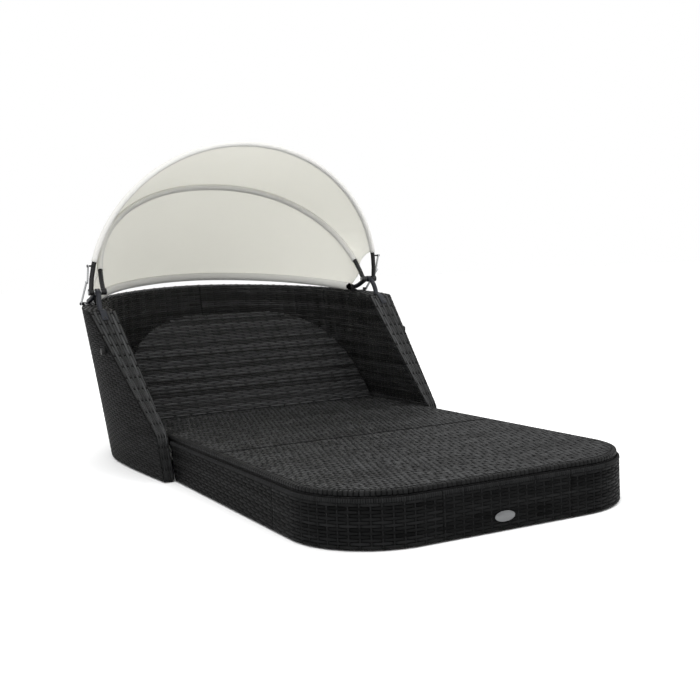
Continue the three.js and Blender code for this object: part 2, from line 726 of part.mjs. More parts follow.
// The hinge's fixed part: a strap under the hinge bar and two cheeks round the wheel
function buildRatchetBases(bed) {
  const half = ratchetWheelWidth / 2 + cheekGap
  const outer = half + cheekThickness
  const strapTop = railBottom - seatGap
  const strapBottom = strapTop - strapThickness
  const strap = box([hingeX - outer, hingeBarY - railSize / 2, strapBottom],
    [hingeX + outer, hingeY + ratchetWheelRadius / 2, strapTop])
  const shape = new THREE.Shape()
  shape.moveTo(hingeY - ratchetWheelRadius, strapBottom)
  shape.lineTo(hingeY + ratchetWheelRadius, strapBottom)
  shape.absarc(hingeY, hingeZ, ratchetWheelRadius, 0, Math.PI, false)
  const cheeks = [-outer, half].map((start) => plateX(shape, hingeX + start, cheekThickness))
  const bore = rodX(hingePinRadius + seatGap, hingeX - 2 * outer, hingeX + 2 * outer, hingeY, hingeZ)
  const pawlTop = hingeZ - ratchetWheelRadius - cheekGap
  const pawl = box([hingeX - half, hingeY - pawlLength / 2, strapTop - strapThickness / 2],
    [hingeX + half, hingeY + pawlLength / 6, pawlTop])
  placePair(bed, 'ratchet_base', cut(join(strap, ...cheeks, pawl), bore), blackSteel)

  const pinEnd = outer + hingePinHead
  const headRadius = hingePinRadius * pinHeadShare
  const pin = join(
    rodX(hingePinRadius, hingeX - pinEnd, hingeX + pinEnd, hingeY, hingeZ),
    rodX(headRadius, hingeX + outer + seatGap, hingeX + pinEnd, hingeY, hingeZ),
    rodX(headRadius, hingeX - pinEnd, hingeX - outer - seatGap, hingeY, hingeZ))
  placePair(bed, 'hinge_pin', pin, brightSteel)
}

// Canopy
function hoopPoint(hoop, angle) {
  const power = 2 / hoop.squarenessShare
  return [
    hoop.halfWidth * Math.sign(Math.cos(angle)) * Math.abs(Math.cos(angle)) ** power,
    0,
    hoop.height * Math.sin(angle) ** power,
  ]
}

class HoopCurve extends THREE.Curve {
  constructor(pointAt, from, to) {
    super()
    this.pointAt = pointAt
    this.from = from
    this.to = to
  }

  getPoint(share, target = new THREE.Vector3()) {
    return target.set(...this.pointAt(lerp(this.from, this.to, share)))
  }
}

function pivotHoop(hoop) {
  const curve = new HoopCurve((angle) => hoopPoint(hoop, angle), 0, Math.PI)
  const tube = tubeAlong(curve, hoopTubeRadius, hoopSteps)
  const eye = rodX(eyeRadius, hoop.halfWidth - hoopTubeRadius, hoop.halfWidth + hoopTubeRadius, 0, 0, 12)
  const bore = rodX(pivotPinRadius + runGap + seatGap, hoop.halfWidth - 2 * hoopTubeRadius,
    hoop.halfWidth + 2 * hoopTubeRadius, 0, 0)
  return cut(join(tube, eye, mirrored(eye)), bore, mirrored(bore))
}

const leanOf = (hoop) => deg(hoop.lean)

// A place in a hoop's own plane, in the bed's frame
function onHoop(hoop, [x, y, z]) {
  const lean = leanOf(hoop)
  const [cos, sin] = [Math.cos(lean), Math.sin(lean)]
  return [x, pivotY + y * cos - z * sin, pivotZ + y * sin + z * cos]
}

function buildHoops(middleBody, frontBody) {
  const placeHoop = (body, hoop, name, geometry) => {
    const plane = new THREE.Group()
    plane.position.set(0, pivotY, pivotZ)
    plane.rotation.x = leanOf(hoop)
    body.add(plane)
    place(plane, name, geometry, blackSteel)
  }
  placeHoop(middleBody, middleHoop, 'middle_hoop', pivotHoop(middleHoop))
  placeHoop(frontBody, frontHoop, 'front_hoop', join(pivotHoop(frontHoop), ...stayStuds(frontHoop)))
}

// Studs for the stays' upper ends stand on the front hoop's tube
function stayStuds(hoop) {
  const lean = leanOf(hoop)
  const [dy, dz] = [stayTopPin.y - pivotY, stayTopPin.z - pivotZ]
  const y = dy * Math.cos(lean) + dz * Math.sin(lean)
  const z = -dy * Math.sin(lean) + dz * Math.cos(lean)
  const headStart = upperStayX + stayThickness + stayLayerGap
  const stud = join(
    rodX(stayPinRadius, hoop.halfWidth - hoopTubeRadius, headStart + stayHeadWidth / 2, y, z),
    rodX(stayPinRadius * pinHeadShare, headStart, headStart + stayHeadWidth, y, z))
  return [stud, mirrored(stud)]
}

const rearHoopPoint = (angle) => {
  const power = 2 / rearHoop.squarenessShare
  const back = rearHoop.reach * Math.sin(angle) ** power
  return [
    rearHoop.halfWidth * Math.sign(Math.cos(angle)) * Math.abs(Math.cos(angle)) ** power,
    rearHoop.startY + back,
    rearHoop.startZ + rearHoopRiseShare * back,
  ]
}
const rearHoopEndShare = (rearHoopEndY - rearHoop.startY) / rearHoop.reach
const rearHoopStart = Math.asin(rearHoopEndShare ** (rearHoop.squarenessShare / 2))

function buildPosts(bed) {
  const rimZ = lipAt(postRimY)
  const bend = [
    alongPost(postBendShare), postAtLip,
    ...postBend.map(([y, z]) => [postX, pivotY + y, pivotZ + z]),
    [postX, postRimY - postRimRise, rimZ + postRimRise],
  ]
  const plate = box([-postPlateHalfWidth, -postPlateHalfLength, 2 * runGap],
    [postPlateHalfWidth, postPlateHalfLength, 2 * runGap + postPlateThickness])
    .rotateX(Math.atan(lipSlope)).translate(postX, postRimY, rimZ)
  const post = join(
    straightTube(alongPost(postEndShare), postAtLip, postRadius),
    smoothTube(bend, postRadius, postSteps), plate,
    rodX(eyeRadius, postX - postRadius, postX + postRadius, pivotY, pivotZ))
  const bore = rodX(pivotPinRadius + seatGap, postX - 2 * postRadius, postX + 2 * postRadius,
    pivotY, pivotZ)
  placePair(bed, 'canopy_post', cut(post, bore), postSteel)

  const inner = middleHoop.halfWidth - hoopTubeRadius - runGap
  const outer = frontHoop.halfWidth + hoopTubeRadius + runGap
  const pin = join(
    rodX(pivotPinRadius, inner - pivotPinHead, outer, pivotY, pivotZ),
    rodX(pivotPinRadius * pinHeadShare, inner - pivotPinHead, inner, pivotY, pivotZ))
  placePair(bed, 'pivot_pin', pin, brightSteel)
}

function buildRearHoop(bed) {
  const curve = new HoopCurve(rearHoopPoint, rearHoopStart, Math.PI - rearHoopStart)
  place(bed, 'rear_hoop', tubeAlong(curve, hoopTubeRadius, rearHoopSteps), blackSteel)
  const end = rearHoopPoint(rearHoopStart)
  const lipHere = lipAt(end[1])
  const clampHeight = end[2] + hoopTubeRadius + clampOverTube - lipHere
  const clampHalf = postX - postRadius - runGap - end[0]
  const block = box([-clampHalf, -clampLength / 2, seatGap], [clampHalf, clampLength / 2, clampHeight])
    .rotateX(Math.atan(lipSlope)).translate(end[0], end[1], lipHere)
  const next = vector(rearHoopPoint(rearHoopStart + clothClampAngle))
  const start = vector(end)
  const direction = next.sub(start).normalize()
  const socket = straightTube(start.clone().addScaledVector(direction, -runGap).toArray(),
    start.clone().addScaledVector(direction, clampLength).toArray(), hoopTubeRadius + runGap + seatGap, 12)
  placePair(bed, 'rear_clamp', cut(block, socket), plastic)
}

// A thin sheet over two hoops, bowed out a little between them
function clothSheet(edgeA, edgeB, bow) {
  const columns = clothColumns
  const rows = clothRows
  const positions = []
  const centre = new THREE.Vector3(0, pivotY, pivotZ - clothCentreDrop)
  const surface = (u, v, lift) => {
    const a = vector(edgeA(u))
    const b = vector(edgeB(u))
    const point = a.lerp(b, v)
    const out = point.clone().sub(centre).normalize()
    return point.addScaledVector(out, lift + bow * 4 * v * (1 - v))
  }
  for (const lift of [0, clothThickness]) {
    for (let i = 0; i <= rows; i++) {
      for (let j = 0; j <= columns; j++) positions.push(...surface(j / columns, i / rows, lift).toArray())
    }
  }
  const layer = (rows + 1) * (columns + 1)
  const at = (side, row, column) => side * layer + row * (columns + 1) + column
  const index = []
  const quad = (a, b, c, d) => index.push(a, b, c, a, c, d)
  for (let i = 0; i < rows; i++) {
    for (let j = 0; j < columns; j++) {
      quad(at(0, i, j), at(0, i + 1, j), at(0, i + 1, j + 1), at(0, i, j + 1))
      quad(at(1, i, j), at(1, i, j + 1), at(1, i + 1, j + 1), at(1, i + 1, j))
    }
    quad(at(0, i, 0), at(1, i, 0), at(1, i + 1, 0), at(0, i + 1, 0))
    quad(at(0, i, columns), at(0, i + 1, columns), at(1, i + 1, columns), at(1, i, columns))
  }
  for (let j = 0; j < columns; j++) {
    quad(at(0, 0, j), at(0, 0, j + 1), at(1, 0, j + 1), at(1, 0, j))
    quad(at(0, rows, j), at(1, rows, j), at(1, rows, j + 1), at(0, rows, j + 1))
  }
  const geometry = new THREE.BufferGeometry()
  geometry.setAttribute('position', new THREE.Float32BufferAttribute(positions, 3))
  geometry.setIndex(index)
  return geometry
}

function buildCloth(frontBody, bed) {
  const over = hoopTubeRadius + clothGap
  const lifted = (hoop, endAngle, aside) => (u) => {
    const angle = lerp(Math.PI - endAngle, endAngle, u)
    const grown = { ...hoop, halfWidth: hoop.halfWidth + over, height: hoop.height + over }
    const [x, , z] = hoopPoint(grown, angle)
    return onHoop(hoop, [x, aside, z])
  }
  const rearEdge = (u) => {
    const angle = lerp(Math.PI - rearHoopStart - clothClampAngle, rearHoopStart + clothClampAngle, u)
    const [x, y, z] = rearHoopPoint(angle)
    const back = (y - rearHoop.startY) / rearHoop.reach
    return [x * (1 + over / rearHoop.halfWidth), y + over * back, z + over * clothRearRiseShare]
  }
  const front = clothSheet(lifted(frontHoop, frontSleeveAngle, 0),
    lifted(middleHoop, middleSleeveAngle, -clothGap), clothFrontBow)
  place(frontBody, 'canopy_fabric_front', front, cloth)
  const rear = clothSheet(lifted(middleHoop, middleSleeveAngle, clothGap), rearEdge, clothRearBow)
  place(bed, 'canopy_fabric_rear', rear, cloth)
}

// Folding stays: two flat links a side that meet at a knee
function stayPlate([fromY, fromZ], [toY, toZ], fromX, boreRadius, holes) {
  const half = stayWidth / 2
  const angle = Math.atan2(toZ - fromZ, toY - fromY)
  const length = Math.hypot(toY - fromY, toZ - fromZ)
  const shape = new THREE.Shape()
  shape.absarc(0, 0, half, Math.PI / 2, 3 * Math.PI / 2, false)
  shape.absarc(length, 0, half, -Math.PI / 2, Math.PI / 2, false)
  for (const end of holes) {
    const hole = new THREE.Path()
    hole.absarc(end * length, 0, boreRadius, 0, 2 * Math.PI, true)
    shape.holes.push(hole)
  }
  return new THREE.ExtrudeGeometry(shape, { depth: stayThickness, bevelEnabled: false, curveSegments: 6 })
    .rotateZ(angle).translate(fromY, fromZ, 0).applyMatrix4(alongX(fromX))
}

// The knee, where circles of the two links' lengths about their pins cross
function kneePoint(top, low, forward) {
  const dy = low.y - top.y
  const dz = low.z - top.z
  const distance = Math.min(Math.hypot(dy, dz), upperStayLength + lowerStayLength)
  const along = (upperStayLength ** 2 - lowerStayLength ** 2 + distance ** 2) / (2 * distance)
  const aside = Math.sqrt(Math.max(upperStayLength ** 2 - along ** 2, 0))
  const [unitY, unitZ] = [dy / Math.hypot(dy, dz), dz / Math.hypot(dy, dz)]
  return [
    top.y + unitY * along + forward * unitZ * aside,
    top.z + unitZ * along - forward * unitY * aside,
  ]
}

const stayKnee = kneePoint(stayTopPin, stayLowPin, 1)

function buildStays(bed, upperBodies, lowerBodies) {
  const bore = stayPinRadius + runGap
  const upper = stayPlate([stayTopPin.y, stayTopPin.z], stayKnee, upperStayX, bore, [0])
  const lowerX = upperStayX + stayThickness + stayLayerGap
  const lower = join(
    stayPlate([stayLowPin.y, stayLowPin.z], stayKnee, lowerX, bore, [0]),
    rodX(stayPinRadius * kneeRivetShare, lowerX + stayThickness / 2,
      lowerX + stayThickness + stayHeadWidth, ...stayKnee))
  placePair(upperBodies.right, 'stay_upper', upper, brightSteel, upperBodies.left)
  placePair(lowerBodies.right, 'stay_lower', lower, brightSteel, lowerBodies.left)

  const lip = lipAt(stayLowPin.y)
  const earStart = upperStayX - stayEarSetback
  const foot = box([earStart - stayFootLength, -stayFootHalfWidth, seatGap],
    [earStart + stayEarThickness, stayFootHalfWidth, seatGap + stayFootThickness])
    .rotateX(Math.atan(lipSlope)).translate(0, stayLowPin.y, lip)
  const earTop = stayLowPin.z + stayEarHalfTop
  const ear = plateX(polygon([
    [stayLowPin.y - stayEarHalfFoot, lip], [stayLowPin.y + stayEarHalfFoot, lip + stayFootThickness],
    [stayLowPin.y + stayEarHalfTop, earTop], [stayLowPin.y - stayEarHalfTop, earTop],
  ]), earStart, stayEarThickness)
  const studEnd = lowerX + stayThickness + stayLayerGap
  const bracket = join(foot, ear,
    rodX(stayPinRadius, earStart, studEnd + stayHeadWidth / 2, stayLowPin.y, stayLowPin.z),
    rodX(stayPinRadius * pinHeadShare, studEnd, studEnd + stayHeadWidth, stayLowPin.y, stayLowPin.z),
    rodX(stayPinRadius * stayCollarShare, earStart, lowerX - stayLayerGap, stayLowPin.y, stayLowPin.z))
  placePair(bed, 'stay_bracket', bracket, blackSteel)
}

// Knobs with lobed grips, on shanks that reach the sockets inside the shell
function buildKnobs(bodies) {
  const [axisX, y] = knobCrossing()
  const start = wallXAt(outerWall, y, knobHeight) + knobStandOff
  const shape = new THREE.Shape()
  const steps = knobLobes * 4
  for (let i = 0; i < steps; i++) {
    const angle = 2 * Math.PI * i / steps
    const radius = knobRadius * (1 + knobLobeShare * Math.cos(knobLobes * angle))
    shape[i ? 'lineTo' : 'moveTo'](radius * Math.cos(angle), radius * Math.sin(angle))
  }
  const grip = new THREE.ExtrudeGeometry(shape, {
    depth: knobDepth - 2 * knobRound, bevelEnabled: true, bevelThickness: knobRound, bevelSize: knobRound,
    bevelOffset: -knobRound, bevelSegments: 2,
  }).applyMatrix4(alongX(start + knobRound)).translate(0, y, knobHeight)
  const shank = rodX(knobShankRadius, axisX + postRadius + runGap, start + knobDepth / 2, y, knobHeight)
  placePair(bodies.right, 'knob', join(grip, shank), plastic, bodies.left)
}

// Assembly
const daybed = new THREE.Group()
const body = (parent) => {
  const group = new THREE.Group()
  parent.add(group)
  return group
}
const bed = body(daybed)
bed.position.y = (footLength - outerWall.backTopY) / 2
buildBase(bed)
buildFrame(bed)
buildShell(bed)
buildRatchetBases(bed)
buildPosts(bed)
buildRearHoop(bed)

const backrest = body(bed)
backrest.position.set(0, hingeY, hingeZ)
backrest.rotation.x = backrestTilt
buildBackrest(backrest)

const middleBody = body(bed)
const frontBody = body(bed)
buildHoops(middleBody, frontBody)
buildCloth(frontBody, bed)
buildStays(bed, { right: body(frontBody), left: body(frontBody) }, { right: body(bed), left: body(bed) })
buildKnobs({ right: body(bed), left: body(bed) })

export default daybed
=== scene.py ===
"""Looks of a woven outdoor daybed with a folding canopy: strands over dark cores, and cloth over hoops."""
import json
import math

import bpy
import numpy as np
from mathutils import Matrix, Vector
from mathutils.kdtree import KDTree


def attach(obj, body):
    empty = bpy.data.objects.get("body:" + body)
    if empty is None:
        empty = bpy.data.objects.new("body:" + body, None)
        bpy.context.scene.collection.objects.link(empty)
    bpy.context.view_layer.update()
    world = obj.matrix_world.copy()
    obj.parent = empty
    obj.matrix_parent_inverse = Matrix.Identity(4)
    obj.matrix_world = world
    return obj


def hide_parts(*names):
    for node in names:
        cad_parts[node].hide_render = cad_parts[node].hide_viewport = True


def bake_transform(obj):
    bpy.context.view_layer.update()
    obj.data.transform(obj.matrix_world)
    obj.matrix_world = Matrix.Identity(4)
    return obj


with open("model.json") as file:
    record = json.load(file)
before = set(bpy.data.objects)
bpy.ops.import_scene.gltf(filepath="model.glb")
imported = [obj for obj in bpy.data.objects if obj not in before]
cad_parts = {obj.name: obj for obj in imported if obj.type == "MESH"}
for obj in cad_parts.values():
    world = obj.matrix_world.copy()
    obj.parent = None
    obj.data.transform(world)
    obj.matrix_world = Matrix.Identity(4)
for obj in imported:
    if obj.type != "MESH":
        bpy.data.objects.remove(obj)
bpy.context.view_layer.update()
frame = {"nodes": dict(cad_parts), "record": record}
bpy.ops.object.select_all(action="DESELECT")
rng = np.random.default_rng(7)

SIDES = ((1, "right"), (-1, "left"))

# Sizes in metres, as in the solids; lengths along the bed are counted from the shell's foot
SHIFT = -0.0075
GROUND = 0.005
EDGE_ROUNDING = 0.0025

# Base and deck
BASE_HALF = 0.450
FOOT = 1.015
CORNER = 0.215
DECK_TOP = 0.132
DECK_THICK = 0.013
DECK_LOW = DECK_TOP - DECK_THICK
DECK_INSET = 0.006
DECK_SEAM = -0.335
DECK_SEAM_GAP = 0.006
DECK_REAR = 0.382
GROOVE = 0.0035
SKIRT_TOP = DECK_LOW - GROOVE
PANEL_HALF = 0.180
SIDE_END = -0.705
SEAM = 0.0012

# Head shell
SHELL = dict(knee_setback=0.040, front_top=0.450, front_height=0.495, back_height=0.554)
OUTER = dict(foot=0.484, knee=0.487, top=0.562, side_low=0.502, side_top=0.566, turn_low=0.380,
             turn_top=0.485, back_low=0.950, back_top=1.030, square_low=2.2, square_top=1.75)
INNER = dict(foot=0.454, knee=0.454, top=0.474, side_low=0.457, side_top=0.477, turn_low=0.400,
             turn_top=0.480, back_low=0.868, back_top=0.952, square_low=2.7, square_top=2.05)
SIDE_SHARE = 0.34

# Backrest
TILT = math.radians(48)
HINGE = (0.3957 + SHIFT, 0.1097)
PANEL_TOP = 0.022
PANEL_THICK = 0.014
PANEL_START = 0.0091
PANEL_LENGTH = 0.446
PANEL_HALF_WIDTH = 0.435
PANEL_SQUARE = 2.84

# Canopy; the ends of sleeves and cloth are angles along a hoop
PIVOT = (0.520 + SHIFT, 0.556)
TUBE = 0.008
FRONT_HOOP = dict(half=0.533, height=0.490, lean=math.radians(11.6), square=2.0)
MIDDLE_HOOP = dict(half=0.491, height=0.448, lean=math.radians(-36.2), square=2.17)
REAR_HOOP = dict(half=0.508, y=0.499, z=0.508, reach=0.505, rise=0.155, square=1.864)
FRONT_SLEEVE_END = 0.21
MIDDLE_SLEEVE_END = 0.17
MIDDLE_CLOTH_END = 0.125
REAR_SLEEVE_END = 0.285


# Finishes
class Signal:
    """One output of a node; arithmetic on it adds Math nodes."""

    def __init__(self, nodes, socket):
        self.nodes = nodes
        self.socket = socket

    def _with(self, operation, other):
        return self.nodes.node("ShaderNodeMath", {"operation": operation}, {0: self, 1: other})

    def __add__(self, other):
        return self._with("ADD", other)

    def __sub__(self, other):
        return self._with("SUBTRACT", other)

    def __mul__(self, other):
        return self._with("MULTIPLY", other)


class Nodes:
    """A node tree, and the one way in which its nodes are made."""

    def __init__(self, tree):
        self.tree = tree

    def node(self, kind, settings=None, values=None, output=0):
        made = self.tree.nodes.new(kind)
        for name, value in (settings or {}).items():
            setattr(made, name, value)
        for name, value in (values or {}).items():
            self.set(made.inputs[name], value)
        return Signal(self, made.outputs[output])

    def set(self, socket, value):
        if isinstance(value, Signal):
            self.tree.links.new(value.socket, socket)
        else:
            socket.default_value = value


class Finish(Nodes):
    """A material with one Principled surface."""

    def __init__(self, name, **values):
        self.material = bpy.data.materials.new(name)
        self.material.use_nodes = True
        super().__init__(self.material.node_tree)
        self.surface = self.tree.nodes["Principled BSDF"]
        self.feed(**values)

    def feed(self, **values):
        for name, value in values.items():
            self.set(self.surface.inputs[name.replace("_", " ")], value)

    def mix(self, share, first, second):
        return self.node("ShaderNodeMix", {"data_type": "RGBA"}, {0: share, 6: first, 7: second}, 2)

    def place(self):
        return self.node("ShaderNodeTexCoord", output="Object")

    def uv(self, name):
        return self.node("ShaderNodeUVMap", {"uv_map": name})

    def scaled(self, vector, scale):
        return self.node("ShaderNodeMapping", {}, {"Vector": vector, "Scale": scale})

    def noise(self, vector, scale=1.0, detail=2.0, rough=0.5):
        return self.node("ShaderNodeTexNoise", {}, {"Vector": vector, "Scale": scale, "Detail": detail,
                                                    "Roughness": rough})

    def bump(self, height, strength, distance, **more):
        return self.node("ShaderNodeBump", {}, {"Height": height, "Strength": strength,
                                                "Distance": distance, **more})

    def rounded_bump(self, height, strength, distance):
        """A bump over edges that look slightly rounded, for tubes and plates of metal."""
        soft = self.node("ShaderNodeBevel", {"samples": 4}, {"Radius": EDGE_ROUNDING})
        return self.bump(height, strength, distance, Normal=soft)


def grey(value, warmth=0.0):
    return (value * (1 + warmth), value, value * (1 - warmth), 1)


def tinted(colour, factor):
    return tuple(min(part * factor, 1) for part in colour) + (1,)


def strand_finish(name, dark, light, shine):
    """Extruded plastic strand: fine grooves along it, with a soft shine; the tone it carries makes its crests
    lighter and its ends and sides darker, as painted shade.
    """
    made = Finish(name, IOR=1.45, Specular_IOR_Level=shine)
    uv = made.uv("strand")
    streaks = made.noise(made.scaled(uv, (60, 6, 1)), detail=3.0, rough=0.6)
    grooves = made.noise(made.scaled(uv, (25, 22, 1)))
    # tone holds each strand's own lightness together with painted shade at its ends and sides
    tone = made.node("ShaderNodeAttribute", {"attribute_name": "tone"}, output="Fac")
    share = made.node("ShaderNodeClamp", {}, {"Value": tone * 0.85 + streaks * 0.3 - 0.13})
    made.feed(Base_Color=made.mix(share, grey(dark, warmth=-0.03), grey(light, warmth=-0.02)),
              Roughness=streaks * 0.3 + 0.34,
              Normal=made.bump(grooves, strength=0.35, distance=0.0006))
    return made.material


def core_finish():
    """The dark inside of the wicker, which shows only between strands."""
    made = Finish("wicker_core", Roughness=0.85, Specular_IOR_Level=0.1)
    made.feed(Base_Color=made.mix(made.noise(made.place(), scale=220.0), grey(0.002), grey(0.006)))
    return made.material


def coat_finish(name, colour, shine):
    """Powder coat: an orange-peel grain and slightly uneven gloss."""
    made = Finish(name, IOR=1.5, Specular_IOR_Level=shine)
    grain = made.noise(made.place(), scale=900.0)
    cloud = made.noise(made.place(), scale=14.0, detail=3.0)
    made.feed(Base_Color=made.mix(cloud, tinted(colour, 0.8), tinted(colour, 1.25)),
              Roughness=grain * 0.12 + 0.38,
              Normal=made.rounded_bump(grain, strength=0.15, distance=0.0003))
    return made.material


def steel_finish(name, dark, light, rough):
    """Bright steel with brushing and a few dull spots."""
    made = Finish(name, Metallic=1.0)
    brushed = made.noise(made.scaled(made.place(), (40, 900, 160)), detail=3.0)
    spots = made.noise(made.place(), scale=60.0, detail=3.0)
    made.feed(Base_Color=made.mix(brushed, grey(dark, warmth=-0.02), grey(light, warmth=-0.02)),
              Roughness=brushed * 0.18 + spots * 0.12 + rough,
              Normal=made.rounded_bump(brushed, strength=0.1, distance=0.0002))
    return made.material


def plastic_finish():
    """Moulded black plastic with a fine grain."""
    made = Finish("black_plastic", Specular_IOR_Level=0.25)
    grain = made.noise(made.place(), scale=1400.0)
    made.feed(Base_Color=made.mix(made.noise(made.place(), scale=30.0), grey(0.006), grey(0.012)),
              Roughness=grain * 0.15 + 0.42,
              Normal=made.rounded_bump(grain, strength=0.2, distance=0.0002))
    return made.material


def cloth_finish(name, colour, glow, through):
    """Coated canopy cloth: a fine plain weave; glow is the light that it lets through, and how much."""
    made = Finish(name, Roughness=0.85, Sheen_Weight=0.15)
    uv = made.uv("cloth")
    warp, weft = (made.node("ShaderNodeTexWave", {"wave_type": "BANDS", "bands_direction": way},
                            {"Vector": uv, "Scale": 260.0, "Distortion": 0.6}) for way in "XY")
    cloud = made.noise(made.place(), scale=7.0, detail=3.0)
    slub = made.noise(made.scaled(uv, (8, 420, 1)))
    made.feed(Base_Color=made.mix(cloud * 0.6 + slub * 0.4, tinted(colour, 0.93), tinted(colour, 1.05)),
              Normal=made.bump(warp * 0.5 + weft * 0.5, strength=0.25, distance=0.0004))
    if through:
        lit = made.node("ShaderNodeBsdfTranslucent", {}, {"Color": glow + (1,)})
        both = made.node("ShaderNodeMixShader", {},
                         {0: through, 1: Signal(made, made.surface.outputs[0]), 2: lit})
        made.set(made.tree.nodes["Material Output"].inputs["Surface"], both)
    return made.material


# Copies of one wicker strand: the skirt and shell copies are far darker and duller, painted shade on the
# upright and downward faces, where the deck and backrest copies face the light
STRAND = strand_finish("wicker_strand", dark=0.0035, light=0.045, shine=0.22)
SHADED_SKIRT_STRAND = strand_finish("wicker_skirt_strand_painted_shade", dark=0.001, light=0.019, shine=0.035)
SHADED_SHELL_STRAND = strand_finish("wicker_shell_strand_painted_shade", dark=0.0017, light=0.0145, shine=0.04)
PANEL_STRAND = strand_finish("wicker_backrest_strand", dark=0.002, light=0.052, shine=0.11)
DECK_STRAND = strand_finish("wicker_deck_strand", dark=0.003, light=0.050, shine=0.10)
CORE = core_finish()
BLACK_COAT = coat_finish("black_coat", (0.006, 0.006, 0.0065), shine=0.3)
POST_COAT = coat_finish("post_coat", (0.013, 0.0145, 0.019), shine=0.2)
STEEL = steel_finish("bright_steel", dark=0.38, light=0.62, rough=0.2)
PLATE = steel_finish("plate_steel", dark=0.14, light=0.22, rough=0.28)
PLASTIC = plastic_finish()
CLOTH = cloth_finish("canopy_cloth", (0.785, 0.782, 0.75), glow=(0.945, 0.94, 0.895), through=0.52)
# The sleeves' cloth lets less light through, for its double layer, and is greyer than the canopy cloth:
# painted shade of the hoop's tube inside it
SHADED_DOUBLE_BAND = cloth_finish("canopy_band_double_layer_and_painted_shade", (0.72, 0.715, 0.69), glow=(0.75, 0.745, 0.72), through=0.15)
THREAD = cloth_finish("seam_thread", (0.55, 0.545, 0.52), glow=None, through=0)
SLOT_FINISH = {"wicker": CORE, "black_steel": BLACK_COAT, "post_steel": POST_COAT, "bright_steel": STEEL,
               "black_plastic": PLASTIC, "canopy_cloth": CLOTH}
for part in frame["record"]["subparts"]:
    node = frame["nodes"][part["node"]]
    node.data.materials.clear()
    node.data.materials.append(SLOT_FINISH[part["material_slot"]])


# Meshes
def linked(name, data):
    """A new object in the scene."""
    made = bpy.data.objects.new(name, data)
    bpy.context.scene.collection.objects.link(made)
    return made


def mesh_piece(name, points, faces, material, uv_name, uv, tone=None):
    """A smooth mesh object from arrays: faces are quads, uv and tone per vertex."""
    mesh = bpy.data.meshes.new(name)
    mesh.vertices.add(len(points))
    mesh.vertices.foreach_set("co", np.asarray(points, np.float32).ravel())
    faces = np.asarray(faces, np.int32)
    mesh.loops.add(faces.size)
    mesh.loops.foreach_set("vertex_index", faces.ravel())
    mesh.polygons.add(len(faces))
    mesh.polygons.foreach_set("loop_start", np.arange(0, faces.size, 4, dtype=np.int32))
    layer = mesh.uv_layers.new(name=uv_name)
    layer.data.foreach_set("uv", np.asarray(uv, np.float32)[faces.ravel()].ravel())
    if tone is not None:
        mesh.attributes.new("tone", "FLOAT", "POINT").data.foreach_set("value", np.asarray(tone, np.float32))
    mesh.update()
    mesh.validate()
    mesh.shade_smooth()
    mesh.materials.append(material)
    piece = linked(name, mesh)
    return piece


def unit(vectors):
    return vectors / np.maximum(np.linalg.norm(vectors, axis=-1, keepdims=True), 1e-12)


def lerp(a, b, share):
    return a + (b - a) * share


def run_along(points):
    """How far along a line its points lie."""
    return np.concatenate([[0], np.cumsum(np.linalg.norm(np.diff(points, axis=0), axis=1))])


NORMAL_STEP = 0.0006


def normals(surface, s, t, side):
    ds = surface(s + NORMAL_STEP, t) - surface(s - NORMAL_STEP, t)
    dt = surface(s, t + NORMAL_STEP) - surface(s, t - NORMAL_STEP)
    return side * unit(np.cross(ds, dt))


# A strand's section: where its corners lie across a row, and which lie low
PROFILE = np.array([-0.47, -0.28, 0.28, 0.47])
PROFILE_DROP = np.array([1.0, 0.0, 0.0, 1.0])
STRAND_THICK = 0.0011
STRAND_UV = 7.3


def strand_mesh(surface, s, t, row, height, side, thick=STRAND_THICK):
    """Closed crowned strands: s and height are (strands, samples), t is (strands,), row the spacing in t."""
    count, samples = s.shape
    corners = len(PROFILE)
    along = np.repeat(s[:, :, None], corners, axis=2)
    across = np.broadcast_to(t[:, None, None] + PROFILE * row, along.shape)
    out = normals(surface, s, np.repeat(t[:, None], samples, 1), side)
    rise = height[:, :, None] - thick * PROFILE_DROP
    points = surface(along, across) + out[:, :, None, :] * rise[..., None]
    starts = np.arange(count) * samples * corners
    last = starts + (samples - 1) * corners
    ring = starts[:, None, None] + np.arange(samples - 1)[None, :, None] * corners
    corner = np.arange(corners)
    following = (corner + 1) % corners
    quads = np.stack([ring + corner, ring + following, ring + corners + following, ring + corners + corner],
                     axis=-1).reshape(-1, 4)
    faces = np.concatenate([quads, starts[:, None] + corner[::-1], last[:, None] + corner])
    if side > 0:
        faces = faces[:, ::-1]
    uv = np.stack([along, np.broadcast_to(t[:, None, None] * STRAND_UV + PROFILE, along.shape)], axis=-1)
    return points.reshape(-1, 3), faces, uv.reshape(-1, 2), samples * corners


# Weave: rows of floats, each over one stake and between the two beside it
ROW = 0.0078
STAKE = 0.025
STAKE_WIDTH = 0.0042
STAKE_LIFT = 0.0009
STAKE_SAMPLING = 0.02
STAKE_LEVELS = 200
SHORTEST_FLOAT = 0.15
FLOAT_SAMPLES = np.array([0, 0.16, 0.5, 0.84, 1.0])


def stake_strands(surface, ends, t0, t1, stake, side):
    """The stakes under the rows, as long as they stay between the rows' ends."""
    levels = np.linspace(t0, t1, STAKE_LEVELS)
    reach = np.array([ends(level) for level in levels])
    k = np.arange(math.ceil(reach[:, 0].min() / stake), math.floor(reach[:, 1].max() / stake) + 1)
    inside = (reach[None, :, 0] < k[:, None] * stake) & (reach[None, :, 1] > k[:, None] * stake)
    k, inside = k[inside.any(1)], inside[inside.any(1)]
    low = levels[inside.argmax(1)]
    high = levels[len(levels) - 1 - inside[:, ::-1].argmax(1)]
    share = np.linspace(0, 1, max(3, round((t1 - t0) / STAKE_SAMPLING) + 1))
    along = low[:, None] + (high - low)[:, None] * share
    lift = np.full(along.shape, STAKE_LIFT)
    return strand_mesh(lambda s, t: surface(t, s), along, k * stake, STAKE_WIDTH, lift, -side)


